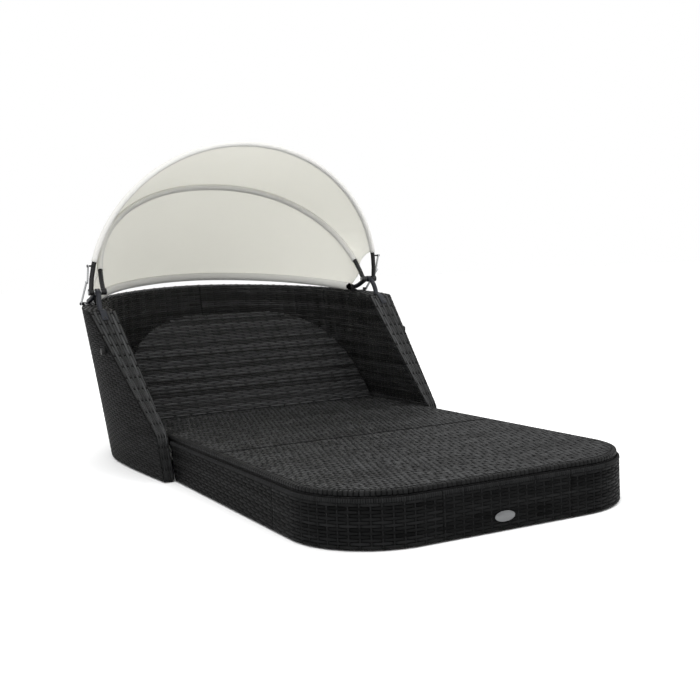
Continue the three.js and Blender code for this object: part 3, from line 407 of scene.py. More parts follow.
def woven(name, body, surface, ends, t0, t1, side, tone, row=ROW, stake=STAKE, lift=0.0014, material=STRAND,
          stakes=0.9, end_shade=0.6, dip=1.2, speck=0.08, streak=0.11, thick=STRAND_THICK, edge=0.55, slip=0.0):
    """Rows of strands over and under stakes, from t0 to t1; ends(t) gives a row's start and end.

    tone gives a float's lightness, which streak and speck scatter by row and by float; wear darkens its ends
    with painted shade, where they dip beside the stakes, and edge darkens its sides with painted shade
    between the rows. lift is the height of its middle and dip the fall of its ends. stakes is the lightness
    of the stakes, with none at 0, and slip scatters the crossings by row.
    """
    rows = max(1, round((t1 - t0) / row))
    row = (t1 - t0) / rows
    found = []
    for i in range(rows):
        t = t0 + (i + 0.5) * row
        a, b = ends(t)
        k = np.arange(math.floor(a / stake) - 1, math.ceil(b / stake) + 2)
        centre = k[(k + i) % 2 == 0] * stake + (rng.normal(0, slip) if slip else 0)
        start, end = np.maximum(centre - stake, a), np.minimum(centre + stake, b)
        keep = end - start > SHORTEST_FLOAT * stake
        centre, start, end = centre[keep], start[keep], end[keep]
        s = start[:, None] + (end - start)[:, None] * FLOAT_SAMPLES
        away = np.abs(s - centre[:, None]) / stake
        height = lift * (1 - dip * away ** 4)
        shade = tone(i, centre, t) + rng.normal(0, streak) + rng.normal(0, speck, len(s))
        # Painted shade: each float darkens towards its ends, where it dips beside the stakes
        found.append((s, np.full(len(s), t), height, shade[:, None] * (1 - end_shade * away ** 3)))
    s, t, height, shade = (np.concatenate(column) for column in zip(*found))
    points, faces, uv, _ = strand_mesh(surface, s, t, row, height, side, thick)
    # Painted shade: the strand's side corners are darker, for the gaps between the rows
    shade = np.clip(shade[..., None] * np.array([edge, 1.0, 1.0, edge]), 0, 1).ravel()
    if stakes:
        more_points, more_faces, more_uv, _ = stake_strands(surface, ends, t0, t1, stake, side)
        faces = np.concatenate([faces, more_faces + len(points)])
        points = np.concatenate([points, more_points])
        uv = np.concatenate([uv, more_uv])
        shade = np.concatenate([shade, np.full(len(more_points), stakes)])
    piece = mesh_piece(name, points, faces, material, "strand", uv, shade)
    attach(piece, body)


def plain(base):
    return lambda i, s, t: np.full_like(s, base)


# The base's outline as distance from the middle of the foot end
STRAIGHT = BASE_HALF - CORNER
ARC = CORNER * math.pi / 2


def outline(p, inset, z):
    q = np.abs(p)
    side = np.where(p < 0, -1.0, 1.0)
    angle = np.clip((q - STRAIGHT) / CORNER, 0, math.pi / 2)
    x = np.minimum(q, STRAIGHT) + (CORNER - inset) * np.sin(angle)
    y = CORNER - FOOT - (CORNER - inset) * np.cos(angle) + np.maximum(q - STRAIGHT - ARC, 0)
    return np.stack([side * x, y + SHIFT, z + np.zeros_like(x)], axis=-1)


def run_length(y):
    return STRAIGHT + ARC + y - (CORNER - FOOT)


# Skirt
FOOT_MARGIN = 0.0005
END_MARGIN = 0.002
SKIRT_BORDER = 0.009
WEAVE_TOP = SKIRT_TOP - GROUND - SKIRT_BORDER
SKIRT_BAND = 0.046
SKIRT_BAND_DEPTH = 0.10
RIPPLE = 0.05
side_seam = run_length(SIDE_END)


def skirt_surface(s, t):
    return outline(s, 0.0, GROUND + t)


def skirt_tone(base):
    """Lighter and darker bands of rows, with a ripple along them."""
    def tone(i, s, t):
        band = math.tanh(2 * math.sin(2 * math.pi * t / SKIRT_BAND))
        return base + SKIRT_BAND_DEPTH * band + RIPPLE * np.sin(s * 17 + i)
    return tone


def skirt_run(name, ends, base, stakes):
    woven(name, "bed", skirt_surface, ends, FOOT_MARGIN, WEAVE_TOP, 1, skirt_tone(base),
          material=SHADED_SKIRT_STRAND, stakes=stakes)


def corner_ends(sign):
    low, high = sorted((sign * (PANEL_HALF + SEAM / 2), sign * (side_seam - SEAM / 2)))
    return lambda t: (low, high)


def side_ends(sign):
    def ends(t):
        edge = run_length(SHELL["knee_setback"] * (t + GROUND) / DECK_TOP) - END_MARGIN
        return tuple(sorted((sign * (side_seam + SEAM), sign * edge)))
    return ends


skirt_run("skirt_weave_front", lambda t: (-PANEL_HALF + SEAM / 2, PANEL_HALF - SEAM / 2), base=0.34,
          stakes=0.6)
for sign, label in SIDES:
    skirt_run(f"skirt_weave_corner_{label}", corner_ends(sign), base=0.34, stakes=0.6)
for sign, label in SIDES:
    skirt_run(f"skirt_weave_side_{label}", side_ends(sign), base=0.26, stakes=0.5)


# Deck: its strands run lengthwise, over stakes that lie across
DECK_BORDER = DECK_INSET + 0.012
DECK_WEAVE_HALF = BASE_HALF - DECK_BORDER - 0.001
DECK_WEAVE_REAR = DECK_REAR - 0.003
DECK_BAND_DEPTH = 0.14


def deck_surface(s, t):
    return np.stack([t, s + SHIFT, np.full_like(s, DECK_TOP)], axis=-1)


def deck_foot(x):
    """Where the round-cornered foot end of the weave lies at a distance x from the middle."""
    past = max(abs(x) - STRAIGHT, 0)
    return CORNER - FOOT - math.sqrt(max((CORNER - DECK_BORDER) ** 2 - past ** 2, 0))


def deck_tone(i, s, t):
    """Uneven bands across the deck, with a ripple along each strand."""
    band = np.tanh(3 * np.sin(s * 37) * np.sin(s * 11 + 1))
    return 0.47 + DECK_BAND_DEPTH * band + RIPPLE * np.sin(s * 30 + t * 7)


for name, ends in (("front", lambda t: (deck_foot(t), DECK_SEAM - DECK_SEAM_GAP)),
                   ("middle", lambda t: (DECK_SEAM + DECK_SEAM_GAP, DECK_WEAVE_REAR))):
    woven(f"deck_weave_{name}", "bed", deck_surface, ends, -DECK_WEAVE_HALF, DECK_WEAVE_HALF, -1, deck_tone,
          stake=0.0245, lift=0.0015, material=DECK_STRAND, stakes=0.15, end_shade=1.0, dip=1.35, speck=0.20,
          streak=0.05, thick=0.0004, edge=0.95, slip=0.006)


# Windings round the edges of deck and skirt; their profiles hold insets and heights
WINDING_THICK = 0.0007
WINDING_END_LIFT = 0.0003
DECK_TURN = 0.0013
DECK_FALL = 0.0045
DECK_EDGE = [(0.013, DECK_TOP), (0.005, DECK_TOP), (DECK_TURN, DECK_TOP - DECK_TURN),
             (0.0, DECK_TOP - DECK_FALL), (0.0, DECK_LOW + DECK_FALL), (DECK_TURN, DECK_LOW + DECK_TURN),
             (0.005, DECK_LOW)]
SKIRT_TURN = 0.0018
SKIRT_EDGE = [(0.006, SKIRT_TOP), (SKIRT_TURN, SKIRT_TOP), (0.0, SKIRT_TOP - SKIRT_TURN),
              (0.0, SKIRT_TOP - 0.006), (0.0, SKIRT_TOP - 0.0095)]
deck_seam_run = run_length(DECK_SEAM)
deck_rear_run = run_length(DECK_REAR)
knee_run = run_length(SHELL["knee_setback"] * SKIRT_TOP / DECK_TOP) - END_MARGIN


def edge_wrap(name, profile, inset, low, high, material, pitch, lift, tone, uneven):
    """Strands wound round an edge of the base, side by side."""
    profile = np.array(profile)
    run = run_along(profile)

    def surface(s, t):
        return outline(t, inset + np.interp(s, run, profile[:, 0]), np.interp(s, run, profile[:, 1]))

    count = round((high - low) / pitch)
    t = low + (np.arange(count) + 0.5) * (high - low) / count
    s = np.repeat(run[None, :], count, 0)
    height = np.full(s.shape, lift)
    height[:, [0, -1]] = WINDING_END_LIFT
    points, faces, uv, per = strand_mesh(surface, s, t, (high - low) / count, height, 1, WINDING_THICK)
    shade = np.repeat(np.clip(rng.normal(tone, uneven, count), 0, 1), per)
    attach(mesh_piece(name, points, faces, material, "strand", uv, shade), "bed")


# The deck's edge windings get a far lower tone than the deck's strands: painted shade on the edge, which
# faces aside and down
for name, low, high in (("front", -deck_seam_run + SEAM, deck_seam_run - SEAM),
                        ("right", deck_seam_run + SEAM, deck_rear_run),
                        ("left", -deck_rear_run, -deck_seam_run - SEAM)):
    edge_wrap(f"deck_edge_{name}", DECK_EDGE, DECK_INSET, low, high, DECK_STRAND, pitch=0.0125,
              lift=0.0006, tone=0.07, uneven=0.04)
for name, low, high in (("front", -PANEL_HALF + SEAM, PANEL_HALF - SEAM),
                        ("corner_right", PANEL_HALF + SEAM, side_seam - SEAM),
                        ("corner_left", SEAM - side_seam, -PANEL_HALF - SEAM),
                        ("side_right", side_seam + SEAM, knee_run),
                        ("side_left", -knee_run, -side_seam - SEAM)):
    edge_wrap(f"skirt_edge_{name}", SKIRT_EDGE, 0.0, low, high, SHADED_SKIRT_STRAND, pitch=0.0056,
              lift=0.0016, tone=0.75, uneven=0.12)


# Head shell: a wall's places are shares along it, from its front to the back seam, and shares of its height
KNEE_SHARE = (DECK_TOP - GROUND) / (SHELL["front_height"] - GROUND)
LIP_SLOPE = (SHELL["back_height"] - SHELL["front_height"]) / (OUTER["back_top"] - SHELL["front_top"])
LIP_TILT = math.atan(LIP_SLOPE)


def lip_at(y):
    return SHELL["front_height"] + LIP_SLOPE * (y - SHELL["front_top"])


def wall_plan(wall, along, height):
    """Where a wall lies in plan: a sloping front edge, a side that swells out, and a rounded back."""
    low = height <= KNEE_SHARE
    rest = (height - KNEE_SHARE) / (1 - KNEE_SHARE)
    front_y = np.where(low, SHELL["knee_setback"] * height / KNEE_SHARE,
                       lerp(SHELL["knee_setback"], SHELL["front_top"], rest))
    front_x = np.where(low, lerp(wall["foot"], wall["knee"], height / KNEE_SHARE),
                       lerp(wall["knee"], wall["top"], rest))
    side_x = lerp(wall["side_low"], wall["side_top"], height)
    turn_y = lerp(wall["turn_low"], wall["turn_top"], height)
    share = np.clip(along / SIDE_SHARE, 0, 1)
    angle = np.clip((along - SIDE_SHARE) / (1 - SIDE_SHARE), 0, 1) * math.pi / 2
    power = 2 / lerp(wall["square_low"], wall["square_top"], height)
    back_y = lerp(wall["back_low"], wall["back_top"], height)
    straight = along <= SIDE_SHARE
    x = np.where(straight, front_x + (side_x - front_x) * np.sin(share * math.pi / 2),
                 side_x * np.maximum(np.cos(angle), 0) ** power)
    y = np.where(straight, lerp(front_y, turn_y, share), turn_y + (back_y - turn_y) * np.sin(angle) ** power)
    return x, y


def wall_point(wall, along, height):
    x, y = wall_plan(wall, along, height)
    lip = lip_at(wall_plan(wall, along, np.ones_like(height))[1])
    return np.stack([x, y + SHIFT, GROUND + height * (lip - GROUND)], axis=-1)


ALONG = np.linspace(0, 1, 300)
FROM_BACK = ALONG[::-1]
WALL_HEIGHT = 0.549
WALL_MARGIN = 0.001
WALL_END = WALL_HEIGHT - WALL_MARGIN
LEVELS = 80
WALL_STEP = 0.004


def length_from_back(wall, height):
    return run_along(wall_point(wall, FROM_BACK, np.full_like(ALONG, height)))


def wall_surface(wall, sign):
    """The wall as a function of the length from the back seam and of the height up the wall."""
    runs = [length_from_back(wall, share) for share in np.linspace(0, 1, LEVELS)]
    lengths = np.array([run[-1] for run in runs])
    grid = np.arange(0, lengths.max() + 2 * WALL_STEP, WALL_STEP)
    table = np.array([np.interp(grid, run, FROM_BACK) for run in runs])

    def surface(s, t):
        s, t = np.broadcast_arrays(s, t)
        level = np.clip(t / WALL_HEIGHT, 0, 1)
        row = np.minimum((level * (LEVELS - 1)).astype(int), LEVELS - 2)
        up = level * (LEVELS - 1) - row
        place = np.clip(s / WALL_STEP, 0, len(grid) - 1.001)
        column = place.astype(int)
        across = place - column
        along = lerp(lerp(table[row, column], table[row, column + 1], across),
                     lerp(table[row + 1, column], table[row + 1, column + 1], across), up)
        return wall_point(wall, along, level) * np.array([sign, 1, 1])

    def ends(t):
        length = float(np.interp(t / WALL_HEIGHT, np.linspace(0, 1, LEVELS), lengths))
        return WALL_MARGIN, length - WALL_MARGIN

    return surface, ends


def across_walls(along_of, sign):
    """The strip between the two walls: t runs from the outer wall to the inner one."""
    def surface(s, t):
        along, height = along_of(s)
        share = np.clip(t, 0, 1)[..., None]
        point = lerp(wall_point(OUTER, along, height), wall_point(INNER, along, height), share)
        return point * np.array([sign, 1, 1])
    return surface


SEAM_STRAND = 0.0045
SEAM_LIFT = 0.0002
SEAM_TONE = 0.05
SEAM_SAMPLES = 60


def seam_winding(name, wall, low, side):
    """The dark strand down the back seam, which closes the gap between the shell's halves."""
    def surface(s, t):
        s, t = np.broadcast_arrays(s, t)
        line = wall_point(wall, np.ones_like(s), np.clip(s / WALL_HEIGHT, 0, 1))
        return np.stack([t, line[..., 1], line[..., 2]], axis=-1)

    s = np.linspace(low, WALL_END, SEAM_SAMPLES)[None, :]
    height = np.full(s.shape, SEAM_LIFT)
    points, faces, uv, per = strand_mesh(surface, s, np.zeros(1), SEAM_STRAND, height, side)
    piece = mesh_piece(name, points, faces, SHADED_SHELL_STRAND, "strand", uv, np.full(per, SEAM_TONE))
    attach(piece, "bed")


SHELL_BAND = 0.058
SHELL_BAND_DEPTH = 0.08
LIP_TONE = 0.34
# The front face's strands from the outer wall inwards, darker below the knee
FACE_TONES = (0.3, 0.7, 0.5, 0.15, 0.3, 0.6, 0.95, 0.8)
FACE_KNEE = 0.135
FACE_FOOT_TONE = 0.3
# The inner wall's weave starts just below the deck's top
INNER_START = 0.125
top_run = length_from_back(OUTER, 1.0)


def shell_tone(base):
    def tone(i, s, t):
        band = math.sin(2 * math.pi * t / SHELL_BAND)
        return base + SHELL_BAND_DEPTH * band + RIPPLE * np.sin(s * 9 + i * 0.7)
    return tone


def face_tone(i, s, t):
    return FACE_TONES[i] * np.where(s < FACE_KNEE, FACE_FOOT_TONE, 1)


seam_winding("shell_seam_outer", OUTER, WALL_MARGIN, 1)
seam_winding("shell_seam_inner", INNER, INNER_START, -1)
for sign, label in SIDES:
    outside, outer_ends = wall_surface(OUTER, sign)
    inside, inner_ends = wall_surface(INNER, sign)
    woven(f"shell_weave_outer_{label}", "bed", outside, outer_ends, FOOT_MARGIN, WALL_END, -sign,
          shell_tone(0.34), material=SHADED_SHELL_STRAND, stakes=0.6, end_shade=0.5, dip=1.0, speck=0.25)
    woven(f"shell_weave_inner_{label}", "bed", inside, inner_ends, INNER_START, WALL_END, sign,
          shell_tone(0.22), stakes=0.3, end_shade=0.05, dip=0.25, speck=0.12, streak=0.2)
    lip = across_walls(lambda s: (np.interp(s, top_run, FROM_BACK), np.ones_like(s)), sign)
    face = across_walls(lambda s: (np.zeros_like(s), np.clip(s / WALL_HEIGHT, 0, 1)), sign)
    woven(f"shell_lip_{label}", "bed", lip, lambda t: (WALL_MARGIN, top_run[-1] - END_MARGIN), 0.01, 0.99,
          sign, plain(LIP_TONE), row=0.098, stakes=0)
    woven(f"shell_front_{label}", "bed", face, lambda t: (END_MARGIN, WALL_HEIGHT - END_MARGIN), 0.02, 0.98,
          sign, face_tone, row=0.12, stake=0.036, stakes=0)


# Backrest
PANEL_BORDER = 0.006
PANEL_WEAVE_START = PANEL_START + 0.002
PANEL_WEAVE_END = PANEL_LENGTH - 0.008
PANEL_ROWS = (0.85, 0.4, 0.8, 0.65, 0.12, 0.3, 0.1)
PANEL_RIPPLE = 0.06
PANEL_BACK_TONE = 0.3


def panel_half(y):
    share = min(max((y - PANEL_START) / (PANEL_LENGTH - PANEL_START), 0), 1)
    return PANEL_HALF_WIDTH * (1 - share ** PANEL_SQUARE) ** (1 / PANEL_SQUARE)


def panel_ends(t):
    return PANEL_BORDER - panel_half(t), panel_half(t) - PANEL_BORDER


def panel_face(level):
    """A plane along the leaning backrest, at a level above its hinge."""
    def surface(s, t):
        return np.stack([s, HINGE[0] + t * math.cos(TILT) - level * math.sin(TILT),
                         HINGE[1] + t * math.sin(TILT) + level * math.cos(TILT)], axis=-1)
    return surface


def panel_tone(i, s, t):
    return PANEL_ROWS[i % len(PANEL_ROWS)] + PANEL_RIPPLE * np.sin(s * 9 + i)


woven("backrest_weave_front", "backrest", panel_face(PANEL_TOP), panel_ends, PANEL_WEAVE_START,
      PANEL_WEAVE_END, 1, panel_tone, row=0.0072, stake=0.0285, lift=0.0019, material=PANEL_STRAND,
      stakes=0.15, end_shade=0.8)
woven("backrest_weave_back", "backrest", panel_face(PANEL_TOP - PANEL_THICK), panel_ends, PANEL_WEAVE_START,
      PANEL_WEAVE_END, -1, plain(PANEL_BACK_TONE), lift=0.0012, material=SHADED_SHELL_STRAND)


# Canopy: places on the hoops by angle, and how far out of the tube's middle
REAR_OVER_RISE = 0.4


def hoop_point(hoop, angle, over=0.0):
    power = 2 / hoop["square"]
    cos, sin = np.cos(angle), np.sin(angle)
    x = (hoop["half"] + over) * np.sign(cos) * np.abs(cos) ** power
    z = (hoop["height"] + over) * np.maximum(sin, 0) ** power
    lean = hoop["lean"]
    return np.stack([x, PIVOT[0] - z * math.sin(lean), PIVOT[1] + z * math.cos(lean)], axis=-1)


def rear_point(angle, over=0.0):
    power = 2 / REAR_HOOP["square"]
    cos, sin = np.cos(angle), np.sin(angle)
    share = np.maximum(sin, 0) ** power
    x = REAR_HOOP["half"] * np.sign(cos) * np.abs(cos) ** power
    back = REAR_HOOP["reach"] * share
    return np.stack([x * (1 + over / REAR_HOOP["half"]), REAR_HOOP["y"] + SHIFT + back + over * share,
                     REAR_HOOP["z"] + REAR_HOOP["rise"] * back + REAR_OVER_RISE * over], axis=-1)


# Cloth: a sheet's columns crowd at its free ends, where it is hemmed
HEM = np.array([0, 0.003, 0.006, 0.0078, 0.0084])
HEM_COLUMNS = len(HEM) - 1
HEM_END = 0.017
CLOTH_COLUMNS = 115
CLOTH_ROWS = 18
CLOTH_THICK = 0.0009
HEM_THICK = 0.0026
CLOTH_UV = (1.3, 0.4)
BOW_CENTRE = np.array([0, PIVOT[0], PIVOT[1] - 0.1])


def cloth_sheet(name, low_edge, high_edge, low_end, high_end, scallop, bow, replaced):
    """A stretched sheet between two hoops, hemmed at its free ends.

    scallop and bow are how far its ends and its middle swell.
    """
    u = np.concatenate([HEM, np.linspace(HEM_END, 1 - HEM_END, CLOTH_COLUMNS), 1 - HEM[::-1]])[None, :]
    columns = u.size - 1
    v = np.linspace(0, 1, CLOTH_ROWS + 1)[:, None]
    swell = 4 * v * (1 - v)
    end = lerp(low_end, high_end, v) + scallop * swell
    angle = lerp(math.pi - end, end, u)
    points = lerp(low_edge(angle), high_edge(angle), v[..., None])
    points = points + unit(points - BOW_CENTRE) * (bow * swell)[..., None]
    index = np.arange((CLOTH_ROWS + 1) * (columns + 1)).reshape(CLOTH_ROWS + 1, columns + 1)
    faces = np.stack([index[:-1, :-1], index[:-1, 1:], index[1:, 1:], index[1:, :-1]], axis=-1).reshape(-1, 4)
    uv = np.stack(np.broadcast_arrays(u * CLOTH_UV[0], v * CLOTH_UV[1]), axis=-1)
    piece = mesh_piece(name, points.reshape(-1, 3), faces, CLOTH, "cloth", uv.reshape(-1, 2))
    thicken(piece, index)
    tuple(map(float, points[0, columns // 2]))
    tuple(map(float, points[-1, columns // 2]))
    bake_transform(piece)
    weigh(piece, points, columns)
    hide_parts(replaced)
    sheet_area(points)


def thicken(piece, index):
    """Gives a sheet its thickness, and its free ends that of the hem."""
    hem = piece.vertex_groups.new(name="hem")
    hem.add(index[:, HEM_COLUMNS:-HEM_COLUMNS].ravel().tolist(), CLOTH_THICK / HEM_THICK, "REPLACE")
    for ends in (index[:, :HEM_COLUMNS], index[:, -HEM_COLUMNS:]):
        hem.add(ends.ravel().tolist(), 1.0, "REPLACE")
    wall = piece.modifiers.new("thickness", "SOLIDIFY")
    wall.thickness = HEM_THICK
    wall.vertex_group = hem.name
    wall.offset = 0
    bpy.context.view_layer.objects.active = piece
    piece.select_set(True)
    bpy.ops.object.modifier_apply(modifier=wall.name)
    piece.select_set(False)


def weigh(piece, points, columns):
    """Finds, for each vertex of the thickened sheet, the row of the sheet that it comes from."""
    co = np.zeros(len(piece.data.vertices) * 3)
    piece.data.vertices.foreach_get("co", co)
    grid = points.reshape(-1, 3)
    tree = KDTree(len(grid))
    for i, point in enumerate(grid):
        tree.insert(point, i)
    tree.balance()
    rows = np.array([tree.find(c)[1] // (columns + 1) for c in co.reshape(-1, 3)])


def sheet_area(points):
    """The area of a sheet, by two triangles a square."""
    near, far = points[:-1], points[1:]
    lower = np.cross(far[:, :-1] - near[:, :-1], near[:, 1:] - near[:, :-1])
    upper = np.cross(far[:, 1:] - near[:, 1:], far[:, 1:] - far[:, :-1])
    return float((np.linalg.norm(lower, axis=-1) + np.linalg.norm(upper, axis=-1)).sum() / 2)


# Sewn pockets
SLEEVE_COLUMNS = 120
SLEEVE_SIDES = 14
SLEEVE_RADIUS = 0.0094
SLEEVE_UV = (1.5, 0.06)
SLEEVE_CENTRE = np.array([0, PIVOT[0], PIVOT[1] - 0.02])


def sleeve_frame(centre_line, start):
    """The line along a hoop from one sleeve end to the other, with the ways out and beside at each point."""
    line = centre_line(np.linspace(math.pi - start, start, SLEEVE_COLUMNS + 1))
    ahead = unit(np.gradient(line, axis=0))
    out = unit(line - SLEEVE_CENTRE)
    out = unit(out - ahead * (out * ahead).sum(-1, keepdims=True))
    return line, out, np.cross(ahead, out)


def sleeve(name, body, frame_of, squash):
    """A sewn pocket round a hoop's tube, a little wider than the tube and open at its ends."""
    line, out, beside = frame_of
    shape = (SLEEVE_COLUMNS + 1, SLEEVE_SIDES)
    turn = np.linspace(0, 2 * math.pi, SLEEVE_SIDES, endpoint=False)
    outer, inner = (line[:, None] + out[:, None] * (np.cos(turn) * wall)[None, :, None]
                    + beside[:, None] * (np.sin(turn) * wall * squash)[None, :, None]
                    for wall in (SLEEVE_RADIUS, SLEEVE_RADIUS - CLOTH_THICK))
    index = np.arange(shape[0] * shape[1]).reshape(shape)
    count = index.size
    around = np.roll(index, -1, axis=1)
    skin = np.stack([index[:-1], around[:-1], around[1:], index[1:]], axis=-1).reshape(-1, 4)
    ends = [np.stack([index[0], index[0] + count, around[0] + count, around[0]], axis=-1),
            np.stack([index[-1], around[-1], around[-1] + count, index[-1] + count], axis=-1)]
    faces = np.concatenate([skin, skin[:, ::-1] + count, *ends])
    points = np.concatenate([outer.reshape(-1, 3), inner.reshape(-1, 3)])
    u = np.broadcast_to(np.linspace(0, SLEEVE_UV[0], shape[0])[:, None], shape)
    w = np.broadcast_to(np.linspace(0, SLEEVE_UV[1], shape[1])[None, :], shape)
    uv = np.tile(np.stack([u, w], axis=-1).reshape(-1, 2), (2, 1))
    piece = mesh_piece(name, points, faces, SHADED_DOUBLE_BAND, "cloth", uv)
    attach(piece, body)
    return piece


STITCH = 0.0065
STITCH_TURN = 1.05
STITCH_MARGIN = 0.005
STITCH_SHARES = np.array([0, 0.15, 0.5, 0.65])
STITCH_LIFTS = [0.0, 0.0004, 0.0004, 0.0]
STITCH_THICK = 0.0005
STITCH_WIDTH = 0.1


def stitches(name, body, frame_of, squash):
    """Two rows of stitches along the inner side of a sleeve; their width is an angle round it."""
    line, out, beside = frame_of
    run = run_along(line)

    def surface(s, t):
        def at(values):
            return np.stack([np.interp(s, run, values[:, axis]) for axis in range(3)], axis=-1)
        t = np.broadcast_to(t, np.shape(s))[..., None]
        radius = SLEEVE_RADIUS
        return at(line) + at(out) * (np.cos(t) * radius) + at(beside) * (np.sin(t) * radius * squash)

    count = round((run[-1] - 2 * STITCH_MARGIN) / STITCH)
    begin = STITCH_MARGIN + (np.arange(count) + 0.2) * STITCH
    s = np.tile(begin[:, None] + STITCH * STITCH_SHARES, (2, 1))
    t = np.repeat([math.pi - STITCH_TURN, math.pi + STITCH_TURN], count)
    height = np.broadcast_to(STITCH_LIFTS, s.shape)
    points, faces, uv, _ = strand_mesh(surface, s, t, STITCH_WIDTH, height, -1, STITCH_THICK)
    piece = mesh_piece(name, points, faces, THREAD, "cloth", uv)
    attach(piece, body)
    return piece


def sewn_pocket(label, body, centre_line, start, squash=1.25):
    frame_of = sleeve_frame(centre_line, start)
    return [sleeve(f"canopy_sleeve_{label}", body, frame_of, squash),
            stitches(f"canopy_stitches_{label}", body, frame_of, squash)]


OVER = TUBE + 0.0014


def over_hoop(hoop):
    return lambda angle: hoop_point(hoop, angle, OVER)


front_pocket = sewn_pocket("front", "front_hoop", lambda a: hoop_point(FRONT_HOOP, a), FRONT_SLEEVE_END)
middle_pocket = sewn_pocket("middle", "middle_hoop", lambda a: hoop_point(MIDDLE_HOOP, a), MIDDLE_SLEEVE_END)
rear_pocket = sewn_pocket("rear", "bed", rear_point, REAR_SLEEVE_END, squash=1.6)
cloth_sheet("canopy_cloth_front", over_hoop(MIDDLE_HOOP), over_hoop(FRONT_HOOP), MIDDLE_CLOTH_END,
            FRONT_SLEEVE_END, scallop=0.03, bow=0.004,
            replaced="canopy_fabric_front")
cloth_sheet("canopy_cloth_rear", lambda a: rear_point(a, OVER), over_hoop(MIDDLE_HOOP), REAR_SLEEVE_END,
            MIDDLE_CLOTH_END, scallop=-0.02, bow=0.006,
            replaced="canopy_fabric_rear")


# Pieces made with mesh operators
SMOOTH_BELOW = math.radians(40)


def settle(piece, name, material, body):
    """Gives a finished piece its name, place in the mesh, finish and body."""
    bpy.ops.object.transform_apply(location=True, rotation=True, scale=True)
    piece.name = name
    piece.data.materials.clear()
    piece.data.materials.append(material)
    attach(piece, body)
    piece.select_set(False)


def bent_tube(points, radius):
    """A round tube bent through the points, closed at its ends."""
    bpy.ops.curve.primitive_bezier_curve_add(location=(0, 0, 0))
    tube = bpy.context.object
    spline = tube.data.splines[0]
    spline.bezier_points.add(len(points) - 2)
    for knot, place in zip(spline.bezier_points, points):
        knot.co = place
        knot.handle_left_type = knot.handle_right_type = "AUTO"
    tube.data.dimensions = "3D"
    tube.data.resolution_u = 6
    tube.data.bevel_depth = radius
    tube.data.bevel_resolution = 6
    tube.data.use_fill_caps = True
    bpy.ops.object.convert(target="MESH")
    tube = bpy.context.object
    bpy.ops.object.mode_set(mode="EDIT")
    bpy.ops.mesh.select_all(action="SELECT")
    bpy.ops.mesh.remove_doubles(threshold=0.00001)
    bpy.ops.mesh.normals_make_consistent(inside=False)
    bpy.ops.object.mode_set(mode="OBJECT")
    bpy.ops.object.shade_smooth_by_angle(angle=SMOOTH_BELOW)
    return tube


def bevelled(rounding):
    """Rounds all the edges of the piece at hand."""
    bpy.ops.object.transform_apply(location=False, rotation=False, scale=True)
    bpy.ops.object.mode_set(mode="EDIT")
    bpy.ops.mesh.select_all(action="SELECT")
    bpy.ops.mesh.bevel(offset=rounding, segments=2)
    bpy.ops.object.mode_set(mode="OBJECT")
    bpy.ops.object.shade_smooth_by_angle(angle=SMOOTH_BELOW)


def lip_slab(name, place, half, rounding, material):
    """A rounded slab on the shell's lip; half holds its half sizes."""
    bpy.ops.mesh.primitive_cube_add(size=2, location=place, rotation=(LIP_TILT, 0, 0), scale=half)
    bevelled(rounding)
    settle(bpy.context.object, name, material, "bed")


# Canopy arches: bent tubes from the shell's front corners over the pivots to the lip behind them
ARCH_X = (OUTER["side_top"] + INNER["side_top"]) / 2 - 0.0095
ARCH_RADIUS = 0.0083
RIM_Y = PIVOT[0] - SHIFT + 0.128
RIM = (RIM_Y + SHIFT, lip_at(RIM_Y))
RIM_RISE = 0.009
ARCH_EYE = dict(radius=0.011, half=0.0075, rounding=0.001)
ARCH_PLATE = dict(half=(0.007, 0.025, 0.0015), over=0.0021, rounding=0.0008)
# The tube's knots: how far outside ARCH_X, along the bed and up
ARCH_LINE = ((-0.011, 0.3163, 0.350), (-0.0055, 0.3976, 0.4245), (0.001, 0.446, 0.472),
             (0.005, 0.4655, 0.497), (0.006, 0.4755, 0.520), (0.003, 0.4845, 0.540), (0.0, 0.498, 0.5535),
             (0.0, 0.5145, 0.558), (0.0, 0.5425, 0.551), (0.0, 0.5925, 0.533),
             (0.0, RIM[0] - RIM_RISE, RIM[1] + RIM_RISE))


def canopy_arch(label, sign):
    tube = bent_tube([(sign * (ARCH_X + x), y, z) for x, y, z in ARCH_LINE], ARCH_RADIUS)
    settle(tube, f"canopy_arch_{label}", POST_COAT, "bed")
    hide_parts(f"canopy_post_{label}")
    bpy.ops.mesh.primitive_cylinder_add(vertices=40, radius=ARCH_EYE["radius"], depth=2 * ARCH_EYE["half"],
                                        location=(sign * ARCH_X, *PIVOT), rotation=(0, math.pi / 2, 0))
    bevelled(ARCH_EYE["rounding"])
    settle(bpy.context.object, f"canopy_arch_eye_{label}", POST_COAT, "bed")
    lip_slab(f"canopy_arch_plate_{label}", (sign * ARCH_X, RIM[0], RIM[1] + ARCH_PLATE["over"]),
             ARCH_PLATE["half"], ARCH_PLATE["rounding"], POST_COAT)


STRAP = dict(over=0.0022, tab=0.028, drop=0.046, width=0.021, thick=0.0018, aside=0.005, ahead=0.0009,
             rounding=0.0006)
STRAP_SCREW = dict(radius=0.0042, height=0.0024, sunk=0.0002, above_end=0.010, rounding=0.0009)
NEAR = 0.001


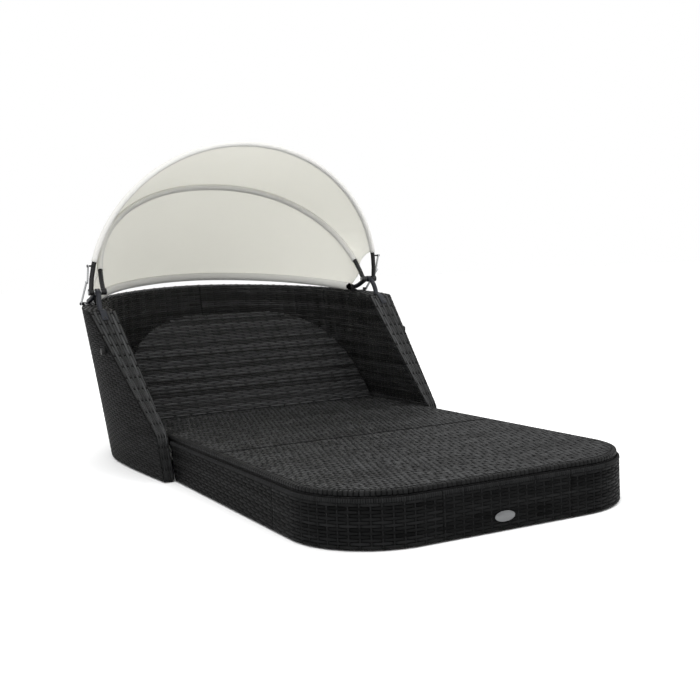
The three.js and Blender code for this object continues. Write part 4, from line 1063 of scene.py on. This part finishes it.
def arch_strap(label, sign):
    """The flat end that holds an arch: over the lip's front edge and down the shell's sloping front."""
    slope = math.atan2(SHELL["front_height"] - DECK_TOP, SHELL["front_top"] - SHELL["knee_setback"])
    down = Vector((0, -math.cos(slope), -math.sin(slope)))
    out = Vector((0, -math.sin(slope), math.cos(slope)))
    x = sign * (ARCH_X + STRAP["aside"])
    y = SHELL["front_top"] + SHIFT - STRAP["ahead"]
    z = SHELL["front_height"] + STRAP["over"]
    half_tab = STRAP["tab"] / 2
    bpy.ops.mesh.primitive_plane_add(size=1, location=(x, y + half_tab, z + half_tab * LIP_SLOPE),
                                     rotation=(LIP_TILT, 0, 0))
    strap = bpy.context.object
    strap.scale = (STRAP["width"], STRAP["tab"], 1)
    bpy.ops.object.transform_apply(location=True, rotation=True, scale=True)
    bpy.ops.object.mode_set(mode="EDIT")
    bpy.ops.mesh.select_all(action="DESELECT")
    bpy.ops.object.mode_set(mode="OBJECT")
    corners = strap.data.vertices
    front = min(corner.co.y for corner in corners) + NEAR
    for edge in strap.data.edges:
        edge.select = all(corners[v].co.y < front for v in edge.vertices)
    for corner in corners:
        corner.select = corner.co.y < front
    bpy.ops.object.mode_set(mode="EDIT")
    bpy.ops.mesh.select_mode(type="EDGE")
    bpy.ops.mesh.extrude_region_move(TRANSFORM_OT_translate={"value": down * STRAP["drop"]})
    bpy.ops.mesh.select_all(action="SELECT")
    bpy.ops.mesh.normals_make_consistent(inside=False)
    bpy.ops.object.mode_set(mode="OBJECT")
    if sum(face.normal.z for face in strap.data.polygons) < 0:
        strap.data.flip_normals()
    wall = strap.modifiers.new("thickness", "SOLIDIFY")
    wall.thickness = STRAP["thick"]
    wall.offset = 1
    round_edges = strap.modifiers.new("rounding", "BEVEL")
    round_edges.width = STRAP["rounding"]
    round_edges.segments = 2
    for step in (wall.name, round_edges.name):
        bpy.ops.object.modifier_apply(modifier=step)
    bpy.ops.object.shade_smooth_by_angle(angle=SMOOTH_BELOW)
    settle(strap, f"canopy_arch_strap_{label}", POST_COAT, "bed")
    place = Vector((x, y, z)) + down * (STRAP["drop"] - STRAP_SCREW["above_end"])
    place += out * (STRAP["thick"] + STRAP_SCREW["height"] / 2 - STRAP_SCREW["sunk"])
    bpy.ops.mesh.primitive_cylinder_add(vertices=28, radius=STRAP_SCREW["radius"],
                                        depth=STRAP_SCREW["height"], location=place, rotation=(slope, 0, 0))
    bevelled(STRAP_SCREW["rounding"])
    settle(bpy.context.object, f"canopy_arch_screw_{label}", BLACK_COAT, "bed")


CLAMP_ANGLE = 0.2498
CLAMP_STEP = 0.05
CLAMP = dict(radius=0.0112, length=0.027, ahead=0.010, rounding=0.002)
CLAMP_FLANGE = dict(half=(0.012, 0.017, 0.0016), over=0.0022, rounding=0.0012)


def rear_clamp(label, sign):
    """The moulded holder for an end of the rear hoop: a round body on a flange that sits on the lip."""
    first, second = (Vector(rear_point(np.array(angle)).tolist())
                     for angle in (CLAMP_ANGLE, CLAMP_ANGLE + CLAMP_STEP))
    first.x, second.x = sign * first.x, sign * second.x
    along = (second - first).normalized()
    seat = first + along * CLAMP["ahead"]
    bpy.ops.mesh.primitive_cylinder_add(vertices=36, radius=CLAMP["radius"], depth=CLAMP["length"],
                                        location=seat, rotation=along.to_track_quat("Z", "Y").to_euler())
    bevelled(CLAMP["rounding"])
    body = bpy.context.object
    settle(body, f"rear_clamp_body_{label}", PLASTIC, "bed")
    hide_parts(f"rear_clamp_{label}")
    lip_slab(f"rear_clamp_flange_{label}", (seat.x, seat.y, lip_at(seat.y - SHIFT) + CLAMP_FLANGE["over"]),
             CLAMP_FLANGE["half"], CLAMP_FLANGE["rounding"], PLASTIC)


for sign, label in SIDES:
    canopy_arch(label, sign)
    arch_strap(label, sign)
    rear_clamp(label, sign)


# Oval plate on the foot end, left bare
OVAL = dict(place=(-0.014, -FOOT + SHIFT - 0.0022, 0.036), size=(0.028, 0.0125, 0.0018), rounding=0.0005)
bpy.ops.mesh.primitive_cylinder_add(vertices=64, radius=1, depth=1, location=OVAL["place"],
                                    rotation=(math.pi / 2, 0, 0), scale=OVAL["size"])
bevelled(OVAL["rounding"])
settle(bpy.context.object, "oval_plate", PLATE, "bed")


# Floor, light and camera
FLOOR_SIZE = 60
SKY_AT_HORIZON = 0.35
SKY_OVERHEAD = 1.55
SOFTBOX_SIZE = 3.0
SOFTBOX_AIM = Vector((0, 0, 0.3))
SOFTBOXES = (((-2.5, -3.0, 3.8), 120), ((3.0, -1.5, 3.0), 60), ((0.5, 3.5, 3.5), 60))


def stage():
    """A plain pale floor, three softboxes and a white sky that grows brighter upwards."""
    bpy.ops.mesh.primitive_plane_add(size=FLOOR_SIZE, location=(0, 0, 0))
    floor = bpy.context.object
    floor.name = "floor"
    finish = Finish("floor", Roughness=1.0, Specular_IOR_Level=0.0, Base_Color=grey(0.93))
    floor.data.materials.append(finish.material)
    floor.select_set(False)
    world = bpy.data.worlds.new("studio")
    world.use_nodes = True
    sky = Nodes(world.node_tree)
    way = sky.node("ShaderNodeTexCoord", output="Generated")
    up = sky.node("ShaderNodeSeparateXYZ", {}, {0: way}, "Z")
    glow = sky.node("ShaderNodeMapRange", {}, {"Value": up, "From Min": 0.0, "To Min": SKY_AT_HORIZON,
                                               "To Max": SKY_OVERHEAD})
    seen = sky.node("ShaderNodeLightPath", output="Is Camera Ray")
    strength = sky.node("ShaderNodeMath", {"operation": "MAXIMUM"}, {0: glow, 1: seen})
    background = world.node_tree.nodes["Background"]
    sky.set(background.inputs["Strength"], strength)
    sky.set(background.inputs["Color"], (1, 1, 1, 1))
    bpy.context.scene.world = world
    for place, power in SOFTBOXES:
        lamp = bpy.data.lights.new("softbox", "AREA")
        lamp.size = SOFTBOX_SIZE
        lamp.energy = power
        holder = linked("softbox", lamp)
        holder.location = place
        holder.rotation_euler = (SOFTBOX_AIM - Vector(place)).to_track_quat("-Z", "Y").to_euler()


def camera():
    """The photograph's camera, rolled a little."""
    place = Vector((-1.4112, -2.9320, 0.6278))
    target = Vector((-0.0464, -0.3675, 0.3794))
    roll = math.radians(-2.236)
    ahead = (target - place).normalized()
    right = ahead.cross(Vector((0, 0, 1))).normalized()
    up = right.cross(ahead)
    cos, sin = math.cos(roll), math.sin(roll)
    basis = Matrix((right * cos + up * sin, up * cos - right * sin, -ahead)).transposed().to_4x4()
    lens = bpy.data.cameras.new("camera")
    lens.lens = 53.95
    lens.sensor_width = 36
    lens.clip_end = 100
    holder = linked("camera", lens)
    holder.matrix_world = Matrix.Translation(place) @ basis
    bpy.context.scene.camera = holder


stage()
camera()
bpy.context.scene.view_settings.view_transform = "Standard"

bpy.context.view_layer.update()
